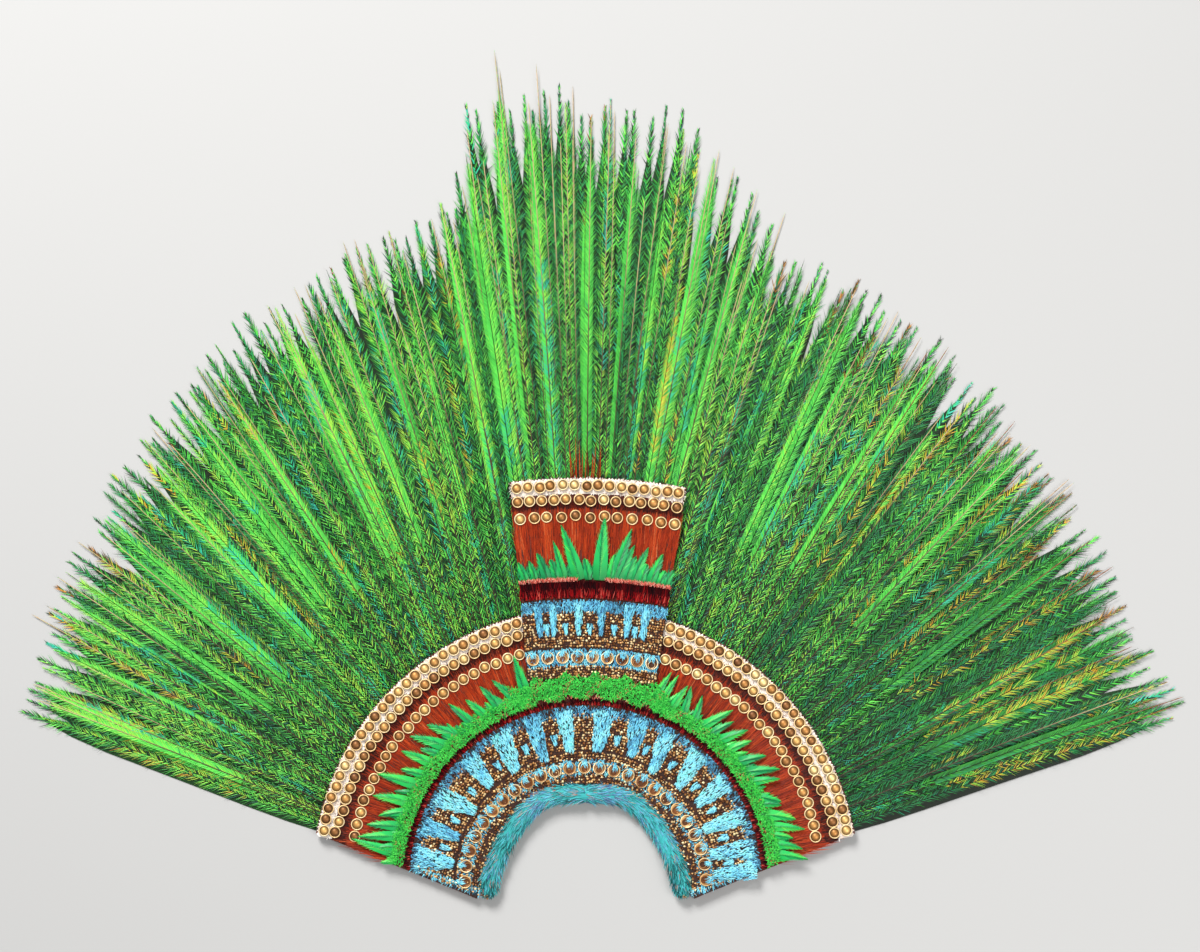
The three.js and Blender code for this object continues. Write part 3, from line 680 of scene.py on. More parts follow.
def plume_bundle(name, low_share, high_share, seed):
    """A bundle of long plumes: coarse ones below, painted dark as shade to close the gaps, and fine bright
    ones on top. A loose plume has clumped barbs over a vane painted in shadow tones, and the others are
    smooth and clear, over a vane painted a little darker than their barbs as shade."""
    rng = np.random.default_rng(seed)
    parts = []
    for n, top in ((UNDER_PLUMES, 0), (TOP_PLUMES, 1)):
        # Where each plume stands, how long it is and how it bends and rises.
        share = low_share + (np.arange(n) + rng.uniform(0.2, 0.8, n)) / n * (high_share - low_share)
        rng.shuffle(share)
        root, heading, length = plume_places(share)
        middle = (np.abs(share) < CENTRE_SHARE).astype(float)
        outer_part = smooth_step((np.abs(share) - 0.35) / 0.4)
        rank = np.linspace(0, 1, n)
        heading = heading + np.radians(rng.normal(0, 0.25 + 0.25 * top, n))
        shortfall = np.abs(rng.normal(0, 0.045 + 0.03 * middle, n)) + 0.2 * rng.random(n) ** 3
        if not top:
            shortfall = rng.uniform(0.0, 0.06, n)
        length = length * (1.016 - shortfall)
        bend = rng.normal(0, 2 + 4 * top, n) + 10 * share
        low = 1.0 + (2.0 + 3.4 * rank) * top
        high = 1.4 + (2.2 + 6.6 * rank) * top
        tip_height = 1.2 + 4.5 * rng.random(n) * top
        # How far its barbs reach, how much of its tip is bare, and which plumes stand out beyond the rest.
        reach = rng.uniform(10, 15.5, n) + 3.5 * (1 - top)
        bare = rng.uniform(0.03, 0.1, n) * (rng.random(n) < 0.42 + 0.25 * middle) * top
        longest = (rng.random(n) < 0.06 + 0.14 * middle) & (top > 0)
        length = np.where(longest, length * (1.03 + 0.04 * middle), length)
        bare = np.where(longest, 0.1, bare)
        spines = (root, heading, length, bend, low, high, tip_height)
        if top:  # quills, the pale ones in sight and the others dark
            spine, _ = feather_spine(QUILL_STATIONS[None], *spines)
            seen = (rng.random(n) < 0.2 + 0.15 * middle) | (bare > 0.06)
            thickness = np.where(seen, 1.15, 0.72)[:, None] * np.linspace(1.7, 1.1, 9)
            pale = rng.uniform(0.62, 0.9, n) + 0.2 * smooth_step((share - 0.2) / 0.3)
            quill_tone = np.where(seen, np.clip(pale, 0.62, 0.99), rng.uniform(0.05, 0.45, n))
            parts.append((quill, blades(spine + UP * 0.4, thickness, thickness * 0.5, quill_tone)))
        # The filled vane under the barbs, painted as shade: the shadow tone under loose and lower plumes,
        # and the plume's own green a little darker under clear ones.
        loose = np.where(rng.random(n) < (0.28 - 0.06 * middle) * top, 0.0, 1.0)
        vane_from = np.where(loose > 0, 0.0, 0.3)[:, None]
        vane_t = vane_from + (0.95 - vane_from) * np.linspace(0, 1, 9)
        vane, _ = feather_spine(vane_t, *spines)
        full = np.where(loose > 0, LOOSE_VANE, CLEAR_VANE)[:, None] if top else UNDER_VANE
        vane_width = full * np.interp(vane_t[:, :-1], [0, 0.15, 0.3, 0.75, 0.95], [0.7, 1, 1, 0.9, 0.3])
        # Its colours: more gold and brown on the right, yellower greens in the middle of the fan.
        golden = rng.random(n) < 0.05 + 0.16 * outer_part + 0.16 * smooth_step((share - 0.35) / 0.3)
        browned = rng.random(n) < 0.1 + 0.25 * (share > 0.3)
        leftness = np.clip(-share * 1.4, -1, 1)
        greens = [LIME + 0.03, BRIGHT - 0.02, GREEN - 0.02, DEEP - 0.03]
        own = rng.choice(greens, n, p=[0.2, 0.3, 0.3, 0.2])
        own = np.where(loose > 0, own, rng.choice([LIME + 0.01, BRIGHT - 0.05, BRIGHT], n))
        own = own + 0.02 * leftness + 0.03 * middle
        # The greens grow a little darker right of the middle and much darker towards the right end.
        own = own + 0.05 * smooth_step(share / 0.4) + 0.17 * smooth_step((share - 0.5) / 0.4)
        # The lower plumes take the middle and deep greens, darker than the top ones, as painted shade under
        # them.
        if not top:
            own = rng.choice([GREEN, DEEP], n)
        # The vane's tone: painted shade, darkest on loose and lower plumes.
        vane_shade_tone = np.where(loose > 0, 0.975, np.minimum(own + 0.1, DEEP))
        vane = vane - UP * (1.3 if top else 0.9)
        # Each vane's two halves stand a little apart in tone, one lighter than the other: painted light.
        parts.append((plume_barb, blades(vane, vane_width, 0.9, vane_shade_tone, spread=0.04)))
        pitch, width = TOP_BARBS if top else UNDER_BARBS
        barbs = plume_barbs(rng, spines, reach, pitch, width, bare, golden, own, browned, loose)
        parts.append((plume_barb, barbs))
    make_piece(name, parts)


FAN_PARTS = [
    ("left", SIDE_BUNDLES, -1.0, -CENTRE_SHARE),
    ("centre", CENTRE_BUNDLES, -CENTRE_SHARE, CENTRE_SHARE),
    ("right", SIDE_BUNDLES, CENTRE_SHARE, 1.0),
]
for part_number, (side_name, bundle_count, from_share, to_share) in enumerate(FAN_PARTS):
    for i in range(bundle_count):
        bounds = from_share + np.array([i, i + 1]) * (to_share - from_share) / bundle_count
        plume_bundle(f"plume_bundle_{side_name}_{i + 1}", *bounds, seed=100 * part_number + i)

# ---------------------------------------------------------------- small feathers
def strokes(rng, root, heading, length, lift, stations=2, curl=0.0):
    """Paths of short strands: from each root along its polar heading, lifting, and curling aside.
    Length and lift are given for each strand, or as a pair to draw them between."""
    count = len(root)
    length, lift = (rng.uniform(*x, count) if isinstance(x, tuple) else x for x in (length, lift))
    share = np.linspace(0, 1, stations)
    turn = heading[:, None] + curl * share * rng.choice([-1, 1], count)[:, None]
    step = np.stack([np.cos(turn), np.sin(turn), np.zeros_like(turn)], -1)
    paths = root[:, None] + step * (length[:, None] * share)[..., None]
    paths[..., 2] += lift[:, None] * np.sin(share * 2.2)
    return paths


def thin_blades(rng, paths, width, height, tone):
    """Blades along short paths, each with its width drawn between two."""
    return blades(paths, rng.uniform(*width, len(paths))[:, None], height, tone)


def scatter(rng, count, band, ends):
    """Radii and polar angles spread evenly over a band, whose two ends are angles worked out at a radius."""
    radius = rng.uniform(*band, count)
    low, high = (end(radius) for end in ends)
    return radius, low + (high - low) * rng.random(count)


def right_of_tablet(radius):
    """Polar angle where the crescent meets the tablet's right side."""
    return TABLET_AXIS - tablet_half_angle(radius, TABLET_DROP) - TABLET_GAP


def left_of_tablet(radius):
    """Polar angle where the crescent meets the tablet's left side."""
    return TABLET_AXIS + tablet_half_angle(radius, TABLET_DROP) + TABLET_GAP


def left_end(radius):
    """Polar angle where the crescent's left end crosses a radius."""
    return 180 - end_angle(radius)


def tablet_right(radius):
    """Polar angle of the tablet's right side, from its own middle."""
    return TABLET_AXIS - tablet_half_angle(radius)


def tablet_left(radius):
    """Polar angle of the tablet's left side, from its own middle."""
    return TABLET_AXIS + tablet_half_angle(radius)


SIDES = {"right": (end_angle, right_of_tablet), "left": (left_of_tablet, left_end)}
CRESCENT_ENDS = (end_angle, left_end)
TABLET_SIDES = (tablet_right, tablet_left)


def tablet_parts(parts):
    """Parts drawn about the tablet's own middle, moved to the tablet."""
    return [(finish, (on_tablet(shape[0]), *shape[1:])) for finish, shape in parts]


def ground_strands(rng, count, band, ends, length, height, tone):
    """Hair-like rust strands that lie outwards side by side, streaked from dark to light."""
    radius, angle = scatter(rng, count, band, ends)
    root = heighten(polar(radius, angle), height + rng.uniform(0.1, 0.7, count))
    heading = np.radians(angle + rng.normal(0, 4, count))
    paths = strokes(rng, root, heading, length, (0.1, 0.9))
    shade = tone + 0.14 * ripple(angle * 0.35, 2) + rng.normal(0, 0.12, count)
    return rust_strand, thin_blades(rng, paths, (0.8, 1.6), 0.4, np.clip(shade, 0.02, 0.98))


def down_band(rng, count, band, ends, height):
    """A fluffy band: flat tongues side by side below, and short strands in all directions above."""
    inner, outer = band
    middle = (inner + outer) / 2
    low, high = (end(middle) for end in ends)
    tongues = int((high - low) * middle * DEGREE / TONGUE_PITCH)
    angle = np.linspace(low + 0.4, high - 0.4, tongues)
    root = heighten(polar(inner, angle), height + 0.2)
    tip = heighten(polar(outer + 1.0 + rng.uniform(-1, 1, tongues), angle), height + 0.6)
    middle_points = heighten(polar(outer - 3.0, angle), height + 1.0)
    paths = np.stack([root, middle_points, tip], 1)
    base = blades(paths, TONGUE_WIDTH, 0.8, rng.uniform(0.5, 0.9, tongues))
    radius, angle = scatter(rng, count, band, ends)
    root = heighten(polar(radius, angle), height + rng.uniform(0.8, 2.0, count))
    paths = strokes(rng, root, rng.uniform(0, 2 * np.pi, count), (2.5, 5.5), (0.3, 1.4))
    tone = np.where(rng.random(count) < 0.12, 0.05, rng.uniform(0.4, 1.0, count))
    return [(pale_down, base), (pale_down, thin_blades(rng, paths, (0.8, 1.7), 0.4, tone))]


def moss(rng, count, radius, angle, height, reddish):
    """A mossy fluff of short strands in all directions, with reddish patches; it is painted lighter on its
    raised lumps and darker between them, as painted light and shade.
    """
    lump = ripple(angle * 0.09, 2, 2) * ripple(radius * 0.03 + angle * 0.02, 5, 2)
    root = heighten(polar(radius, angle), height + 1.4 * lump + rng.uniform(0, 2.2, count))
    length = rng.uniform(2.8, 6.0, count)
    paths = strokes(rng, root, rng.uniform(0, 2 * np.pi, count), length, (0.2, 2.2))
    # Tone follows the lumps: lighter on the raised ones, darker between, painted light and shade.
    tone = 0.66 + 0.18 * lump + rng.normal(0, 0.17, count)
    patch = ripple(angle * 0.11 + radius * 0.017, 9, 2) > 0.35
    red = patch & (rng.random(count) < reddish)
    tone = np.where(red, rng.uniform(0.92, 0.99, count), np.clip(tone, 0.05, 0.84))
    return green_down, thin_blades(rng, paths, (1.0, 1.9), 0.4, tone)


def leaf_feathers(rng, root, heading, length, half_width, low, rise, tone, bend, pairs=20):
    """Pointed leaf feathers: a filled blade with closely set barbs from its groove to its edges."""
    n = len(root)
    spines = (root, np.pi / 2 - heading, length, bend * np.ones(n), low, low + rise, low + 0.5 * rise)
    vane_t = np.linspace(0, 0.98, 9)
    vane, _ = feather_spine(vane_t[None], *spines)
    wide = np.interp(vane_t[:-1], *LEAF_OUTLINE)[None] * half_width[:, None] * 1.85
    body = blades(vane - UP * 0.6, wide, 1.6, tone)
    t = (np.arange(pairs) + 0.5) / pairs * np.ones((n, 1))
    start, direction = feather_spine(t, *spines)
    start, direction, t = (np.repeat(x[:, :, None], 2, 2) for x in (start, direction, t))
    side = np.broadcast_to(BOTH_SIDES, t.shape)
    angle = np.radians(BARB_ANGLE + rng.normal(0, 3, t.shape)) * (1 - 0.45 * t)
    size = np.interp(t, *LEAF_OUTLINE) * half_width[:, None, None] / np.sin(angle)
    size = size * rng.uniform(0.92, 1.1, t.shape)
    size = np.minimum(size, (1.01 - t) * length[:, None, None] / np.cos(angle))
    tip = start.copy()
    tip[..., :2] += rotated(direction, -side * angle) * size[..., None]
    tip[..., 2] -= rng.uniform(0.8, 1.8, t.shape)
    start[..., 2] += 0.9
    # One half of each leaf's barbs is lighter than the other: painted light on one side of its ridge.
    lighter = np.sign(np.sin(tone * 99))[:, None, None]
    shade = tone[:, None, None] + rng.normal(0, 0.07, t.shape) + 0.14 * side * lighter
    paths = np.stack([start, tip], -2).reshape(-1, 2, 3)
    barbs = blades(paths, 2.4, 0.6, np.clip(shade.reshape(-1), 0.02, 0.98))
    return [(leaf_barb, body), (leaf_barb, barbs)]


BARE_QUILLS = 16  # reddish ones that show beyond the tablet's top
BARE_QUILL_ROOT, BARE_QUILL_TIPS = 915.0, (955, 1000)
rng = np.random.default_rng(TRIM_SEED)
for side_name, ends in SIDES.items():
    parts = [
        ground_strands(rng, 2600, RUST_BAND, ends, (26, 42), FRONT, 0.6),
        ground_strands(rng, 1000, DARK_RUST_BAND, ends, (9, 14), FRONT + 0.6, 0.12),
    ]
    make_piece(f"rust_strands_{side_name}", parts, packed=False)
    parts = down_band(rng, 2800, RIM_BAND, ends, FRONT)
    make_piece(f"crescent_rim_{side_name}", parts)
parts = [
    ground_strands(rng, 2300, TABLET_RUST_BAND, TABLET_SIDES, (26, 40), TABLET_FRONT, 0.62),
    ground_strands(rng, 900, TABLET_DARK_RUST_BAND, TABLET_SIDES, (8, 12), TABLET_FRONT + 0.6, 0.12),
]
count = BARE_QUILLS
angle = TABLET_AXIS + np.linspace(-0.2, 2.6, count) + rng.normal(0, 0.08, count)
root = polar(BARE_QUILL_ROOT, angle)
tip = polar(rng.uniform(*BARE_QUILL_TIPS, count), angle + rng.normal(0, 0.3, count))
paths = np.stack([heighten(root, 12.6), heighten((root + tip) / 2, 12.4), heighten(tip, 11.6)], 1)
parts.append((rust_strand, blades(paths, 1.5, 0.8, rng.uniform(0.35, 0.8, count))))
make_piece("rust_strands_tablet", tablet_parts(parts), packed=False)
parts = down_band(rng, 2200, TABLET_RIM_BAND, TABLET_SIDES, TABLET_FRONT)
make_piece("tablet_rim", tablet_parts(parts))

# ---------------------------------------------------------------- green leaves
# Each leaf: its root's polar angle, its length, how far it leans away from the crown, its half width.
LEAVES = {
    "right": [
        (69.2, 56, 4, 6.5), (67.0, 56, 2, 6.5), (63.6, 48, 5, 6.5), (59.6, 50, -8, 6.5), (56, 46, -6, 6),
        (53.4, 60, 22, 8), (50, 46, 16, 6.5), (47, 54, 23, 8), (42.8, 44, 12, 7), (38.4, 50, 20, 8),
        (34.8, 60, 24, 8.5), (31.4, 50, 22, 7), (26.4, 40, 29, 7), (24.0, 34, 20, 6), (20.6, 50, 23, 9),
        (16.9, 58, 19, 8), (14.2, 36, 16, 6), (11.4, 48, 14, 7), (8.4, 54, 14, 7.5),
    ],
    "left": [
        (107.6, 72, 0, 9.5), (110.7, 54, 22, 7.5), (116.2, 50, 10, 7.5), (121.0, 44, 12, 7),
        (125.4, 54, 10, 7.5), (130.9, 56, 25, 9), (135.5, 64, 22, 9.5), (138.8, 36, 16, 6.5),
        (142.3, 56, 12, 8.5), (146.3, 42, 15, 7), (149.8, 70, 13, 9.5), (155.6, 62, 9, 9),
        (158.6, 46, 20, 7), (163.4, 56, 8, 8.5), (166.4, 66, 9, 8.5), (169.6, 40, 4, 6),
        (171.4, 74, -6, 8.5),
    ],
}
LEAF_ROOT = 297.0
MOSS_STRANDS, SMALL_LEAVES = 3600, 26
CROWN_STRANDS, CROWN_ANGLES = 4200, (65, 112)
for side_name, ends in SIDES.items():
    sign = 1 if side_name == "left" else -1
    radius, angle = scatter(rng, MOSS_STRANDS, MOSS_BAND, ends)
    height = FRONT + 5.5 - 3.0 * smooth_step((radius - 303) / 8)
    parts = [moss(rng, MOSS_STRANDS, radius, angle, height, 0.12)]
    angle, length, lean, half_width = np.array(LEAVES[side_name], float).T
    count = len(angle)
    heading = np.radians(angle + sign * lean)
    low = np.full(count, FRONT + 4.0)
    bend = -sign * 5.0 * np.sign(lean) + rng.normal(0, 1.5, count)
    rise, tone = rng.uniform(2, 4, count), rng.uniform(0.35, 0.62, count)
    root = polar(LEAF_ROOT, angle)
    parts += leaf_feathers(rng, root, heading, length, half_width, low, rise, tone, bend)
    count = SMALL_LEAVES
    first, last = (end(300.0) for end in ends)
    crown, foot = (last, first) if side_name == "right" else (first, last)
    angle = crown + (foot - crown) * (np.arange(count) + rng.uniform(0.2, 0.8, count)) / count
    heading = np.radians(angle + sign * rng.uniform(0, 30, count))
    root = polar(rng.uniform(292, 302, count), angle)
    length, half_width = rng.uniform(20, 34, count), rng.uniform(3.5, 5.5, count)
    low = np.full(count, FRONT + 3.0)
    rise, tone = rng.uniform(1, 2.5, count), rng.uniform(0.2, 0.7, count)
    parts += leaf_feathers(rng, root, heading, length, half_width, low, rise, tone, 0.0, pairs=9)
    make_piece(f"green_leaves_{side_name}", parts)

count = CROWN_STRANDS
angle = rng.uniform(*CROWN_ANGLES, count)
radius = rng.uniform(*CROWN_MOSS_BAND, count) + 7 * ripple(angle * 0.12, 3, 2)
height = 14.5 + 5.5 * smooth_step((radius - 290) / 22)
make_piece("green_tufts_crown", [moss(rng, count, radius, angle, height, 0.22)])

# Each leaf: its place across from -1 to 1, length, lean to the right in degrees and half width.
TABLET_LEAVES = [
    (-0.9, 34, -12, 6), (-0.78, 34, -8, 5.5), (-0.62, 46, -14, 8), (-0.5, 34, -10, 7), (-0.4, 64, -12, 7),
    (-0.2, 90, -17, 10.5), (-0.08, 34, -8, 7), (0.06, 100, 1, 12), (0.2, 42, 3, 7), (0.3, 62, 18, 8),
    (0.24, 86, 14, 10.5), (0.4, 44, 14, 7), (0.5, 60, 15, 8), (0.6, 32, 8, 7), (0.72, 52, 13, 8),
    (0.84, 26, 10, 6), (0.92, 30, 14, 6),
]
place, length, lean, half_width = np.array(TABLET_LEAVES, float).T
count = len(place)
angle = TABLET_AXIS - place * tablet_half_angle(776.0)
heading = np.radians(angle - lean)
low = TABLET_FRONT + 1.2 + 0.02 * length
rise, tone = rng.uniform(1.5, 3, count), rng.uniform(0.25, 0.5, count)
root = polar(TABLET_LEAF_ROOT, angle)
bend = 3.0 * np.sign(lean)
parts = leaf_feathers(rng, root, heading, length, half_width, low, rise, tone, bend, pairs=30)
count = 1100
radius, angle = scatter(rng, count, TABLET_LEAF_BAND, TABLET_SIDES)
root = heighten(polar(radius, angle), TABLET_FRONT + rng.uniform(0.4, 2.2, count))
paths = strokes(rng, root, np.radians(angle + rng.normal(0, 26, count)), (7, 15), (0.3, 2))
width = rng.uniform(1.4, 2.6, count)[:, None]
tone = np.clip(rng.normal(0.28, 0.14, count), 0.02, 0.8)
parts.append((leaf_barb, blades(paths, width, 0.5, tone)))
make_piece("green_leaves_tablet", tablet_parts(parts))


# ---------------------------------------------------------------- crimson bands
def crimson_band(rng, count, band, ends, height, pink, pink_where):
    """Dense crimson strands that stand outwards, with a fringe of pink ones where it is wanted."""
    inner, outer = band
    radius, angle = scatter(rng, count, (inner, outer - 0.4 * (outer - inner)), ends)
    root = heighten(polar(radius, angle), height + rng.uniform(0.4, 4, count))
    length = (outer - radius) * rng.uniform(0.8, 1.1, count)
    tone = 0.17 + 0.09 * ripple(angle * 0.4, 1) + rng.normal(0, 0.1, count)
    low_edge = radius < inner + 0.22 * (outer - inner)
    tone = np.where(low_edge, tone + rng.uniform(0.05, 0.42, count), tone)
    length = np.where(low_edge, 0.5 * length, length)
    paths = strokes(rng, root, np.radians(angle + rng.normal(0, 7, count)), length, (0.5, 3.5))
    dense = thin_blades(rng, paths, (1.2, 2.0), 0.5, np.clip(tone, 0.02, 0.66))
    radius, angle = scatter(rng, pink, (outer - 4, outer + 1), ends)
    here = pink_where(angle)
    radius, angle = radius[here], angle[here]
    count = len(radius)
    root = heighten(polar(radius, angle), height + rng.uniform(2, 5.5, count))
    paths = strokes(rng, root, np.radians(angle + rng.normal(0, 22, count)), (2.5, 5), (0.3, 1.5))
    fringe = blades(paths, 1.2, 0.4, rng.uniform(0.6, 0.98, count))
    return [(crimson_strand, dense), (crimson_strand, fringe)]


def in_patches(angle):
    """Where the crescent's crimson has pink tips."""
    return ripple(angle * 0.13, 4) > -0.1


def beside_the_axis(angle):
    """Where the tablet's crimson has pink tips: everywhere but next to its axis."""
    return np.abs(angle - TABLET_AXIS - 0.4) > 1.6


parts = crimson_band(rng, 2400, CRIMSON_BAND, CRESCENT_ENDS, FRONT, 520, in_patches)
make_piece("crimson_band_crescent", parts)
parts = crimson_band(rng, 2200, TABLET_CRIMSON_BAND, TABLET_SIDES, TABLET_FRONT, 1100, beside_the_axis)
make_piece("crimson_band_tablet", tablet_parts(parts))


# ---------------------------------------------------------------- turquoise feathers
def pillar(rng, count, angle, band, half_width, height, tone, lean=0.0):
    """A lobe of overlapping turquoise strands that lie inwards, wider at its outer end, humped
    across, with a few dark flecks."""
    inner, outer = band
    along = rng.random(count)
    aside = rng.uniform(-1, 1, count)
    radius = inner + (outer - inner) * along
    edge = 1 + 0.12 * ripple(along * 1.7, angle, 2)
    spread = half_width * (0.66 + 0.44 * along) * edge * (1 - 0.35 * (1 - along) ** 5)
    root = polar(radius, angle + lean * (along - 0.5)) + polar(aside * spread, angle + 90)
    root = heighten(root, height + 3.4 * (1 - aside**2) + rng.uniform(0, 1.2, count))
    heading = np.radians(angle + 180 + aside * 16 + rng.normal(0, 16, count))
    paths = strokes(rng, root, heading, (4.5, 8), (0.2, 1.0))
    shade = tone + 0.13 * ripple(along * 1.5 + aside * 0.3, angle, 2) + rng.normal(0, 0.1, count)
    fleck = rng.random(count) < 0.08
    shade = np.where(fleck, rng.uniform(0.0, 0.12, count), np.clip(shade, 0.2, 0.9))
    return turquoise_strand, thin_blades(rng, paths, (1.4, 2.6), 0.6, shade)


def feather_strip(rng, count, band, ends, height, length, tone):
    """A strip of short turquoise strands that point inwards."""
    radius, angle = scatter(rng, count, band, ends)
    root = heighten(polar(radius, angle), height + rng.uniform(0.3, 1.8, count))
    heading = np.radians(angle + 180 + rng.normal(0, 30, count))
    paths = strokes(rng, root, heading, length, (0.2, 1.2))
    shade = tone + 0.12 * ripple(angle * 0.11, 5) + rng.normal(0, 0.12, count)
    return turquoise_strand, thin_blades(rng, paths, (1.2, 2.2), 0.6, np.clip(shade, 0.02, 0.9))


def end_fringe(rng, count, side_name):
    """Short strands, dark to turquoise, that stand out over the crescent's cut end."""
    radius = rng.uniform(166, 272, count)
    right = side_name == "right"
    angle = end_angle(radius) if right else left_end(radius)
    outwards = END_SLOPE - 90 if right else 270 - END_SLOPE
    root = polar(radius, angle) - polar(rng.uniform(2, 12, count), outwards)
    root = heighten(root, GOLD_FRONT + rng.uniform(0.2, 1.6, count))
    heading = np.radians(outwards + rng.normal(0, 28, count))
    paths = strokes(rng, root, heading, (5, 10), (0.1, 1))
    dark = rng.random(count) < 0.35
    tone = np.where(dark, 0.06, np.clip(rng.normal(0.55, 0.14, count), 0.1, 0.9))
    return turquoise_strand, thin_blades(rng, paths, (1.2, 2.2), 0.5, tone)


PILLARS = {
    "right": [3.5, 11.5, 23, 35, 47, 60, 71, 84],
    "left": [97, 108.5, 121, 134, 149, 161, 172],
}


def shared_end(radius):
    """Polar angle where the two halves of the turquoise feathers meet."""
    return 90.5


for side_name, ends in (("right", (end_angle, shared_end)), ("left", (shared_end, left_end))):
    parts = [
        feather_strip(rng, 900, TURQUOISE_STRIP, ends, GOLD_FRONT + 1, (4, 9), 0.3),
        end_fringe(rng, 320, side_name),
    ]
    angles = PILLARS[side_name]
    for angle in angles:
        tone = rng.choice([0.48, 0.6, 0.7], p=[0.3, 0.4, 0.3])
        band = (204 + rng.uniform(-4, 12), 269)
        half_width = rng.uniform(13, 17.5)
        lean = rng.uniform(-3, 3)
        parts.append(pillar(rng, 430, angle, band, half_width, GOLD_FRONT + 1, tone, lean))
    for low, high in zip(angles[:-1], angles[1:]):
        middle = (low + high) / 2 + rng.uniform(-0.6, 0.6)
        parts.append(pillar(rng, 60, middle, SQUARE_BAND, 5.0, GOLD_FRONT + 0.8, 0.6))
    make_piece(f"turquoise_feathers_{side_name}", parts)

TABLET_PILLARS = [81.8, 83.9, 87.2, 90.1, 93.3, 95.1]
TABLET_SQUARES = [82.85, 85.55, 88.65, 91.7, 94.2]
parts = [feather_strip(rng, 900, TABLET_STRIP, TABLET_SIDES, TABLET_GOLD_FRONT + 1, (5, 9), 0.36)]
for angle in TABLET_PILLARS:
    tone = rng.choice([0.42, 0.55, 0.66])
    half_width = rng.uniform(5.5, 7.5)
    parts.append(pillar(rng, 220, angle, TABLET_PILLAR_BAND, half_width, TABLET_GOLD_FRONT + 1, tone))
for angle in TABLET_SQUARES:
    parts.append(pillar(rng, 60, angle, TABLET_SQUARE_BAND, 4.2, TABLET_GOLD_FRONT + 0.8, 0.62))
make_piece("turquoise_feathers_tablet", tablet_parts(parts))

# ---------------------------------------------------------------- gold: pieces, rings and discs
# Each profile: distances from the upright axis and heights, from the pole on top to the one below.
PEBBLE = [(0, 1.0), (0.72, 0.7), (1.0, 0.1), (0, 0.0)]
RING_PLATE = [(0, 1.2), (7.6, 1.0), (8.6, 0.4), (0, 0)]
DISC = [(0, 3.9), (2.6, 3.5), (4.6, 2.5), (5.9, 1.0), (6.3, 0.4), (8.0, 0.4), (8.0, 0.0), (0, 0)]


def pebbles(rng, radius, angle, height):
    """Small uneven gold pieces, rounded on top, at polar places."""
    count = len(radius)
    centres = heighten(polar(radius, angle), height)
    half = rng.uniform(1.7, 3.3, count)
    squash = [half, half * rng.uniform(0.6, 1.0, count), half * rng.uniform(0.8, 1.3, count)]
    tone = rng.uniform(0.05, 1.0, count)
    return gold_nugget, turned(centres, PEBBLE, 4, tone, np.stack(squash, 1), rng.uniform(0, 6.3, count))


def pebble_rows(rng, band, ends, height, keep=None, share=0.95):
    """Concentric rows of gold pieces, left out where keep says no."""
    radii, angles = [], []
    for radius in np.arange(band[0], band[1] + 0.1, PEBBLE_PITCH):
        low, high = (end(radius) for end in ends)
        count = int((high - low) * radius * DEGREE / PEBBLE_PITCH)
        place = (np.arange(count) + 0.5 + rng.uniform(-0.3, 0.3, count)) / count
        radii.append(radius + rng.uniform(-1.0, 1.0, count))
        angles.append(low + place * (high - low))
    radius, angle = np.concatenate(radii), np.concatenate(angles)
    kept = rng.random(len(radius)) < share
    if keep is not None:
        kept &= keep(radius, angle)
    return pebbles(rng, radius[kept], angle[kept], height)


def ring_line(angle):
    """The row of rings bends outwards a little at its ends."""
    return RING_RADIUS + 10 * np.cos(np.radians(angle)) ** 4


def half_moons(rng, radius, angle, height):
    """Double gold rings on a plate, the inner ring set towards the wearer."""
    count = len(angle)
    tilt = rng.normal(0, 0.06, (count, 2))
    tone = rng.uniform(0.2, 0.95, count)

    def ring(inwards, up, reach, thickness, tone, round_steps):
        centres = heighten(polar(radius - inwards, angle), height + up)
        return hoops(centres, reach, thickness, tone, round_steps, 5, tilt)

    plate_centres = heighten(polar(radius - 0.6, angle), height - 0.6)
    plates = turned(plate_centres, RING_PLATE, 12, rng.uniform(0.0, 0.3, count))
    outer = ring(0.0, 1.2, 9.3, 0.85, tone, 18)
    inner = ring(2.9, 1.8, 5.3, 0.65, tone * 0.9, 14)
    moon = ring(1.6, 1.0, 7.1, 1.3, rng.uniform(0.1, 0.7, count), 16)
    return [(gold_nugget, plates), (gilt_edge, outer), (gold_nugget, inner), (gold_nugget, moon)]


def tufts_in_rings(rng, radius, angle, height):
    """Turquoise strands that hang from the outer side of each ring to its middle."""
    each = 26
    count = len(angle) * each
    radius, angle = np.repeat(radius + 7.0, each), np.repeat(angle, each)
    root = polar(radius + rng.uniform(-3, 6, count), angle) + polar(rng.normal(0, 2.6, count), angle + 90)
    root = heighten(root, height + rng.uniform(2.0, 3.6, count))
    heading = np.radians(angle + 180 + rng.normal(0, 22, count))
    paths = strokes(rng, root, heading, (4, 8), (0.2, 1))
    tone = np.clip(rng.normal(0.58, 0.12, count), 0.1, 0.9)
    return turquoise_strand, thin_blades(rng, paths, (1.2, 2.0), 0.5, tone)


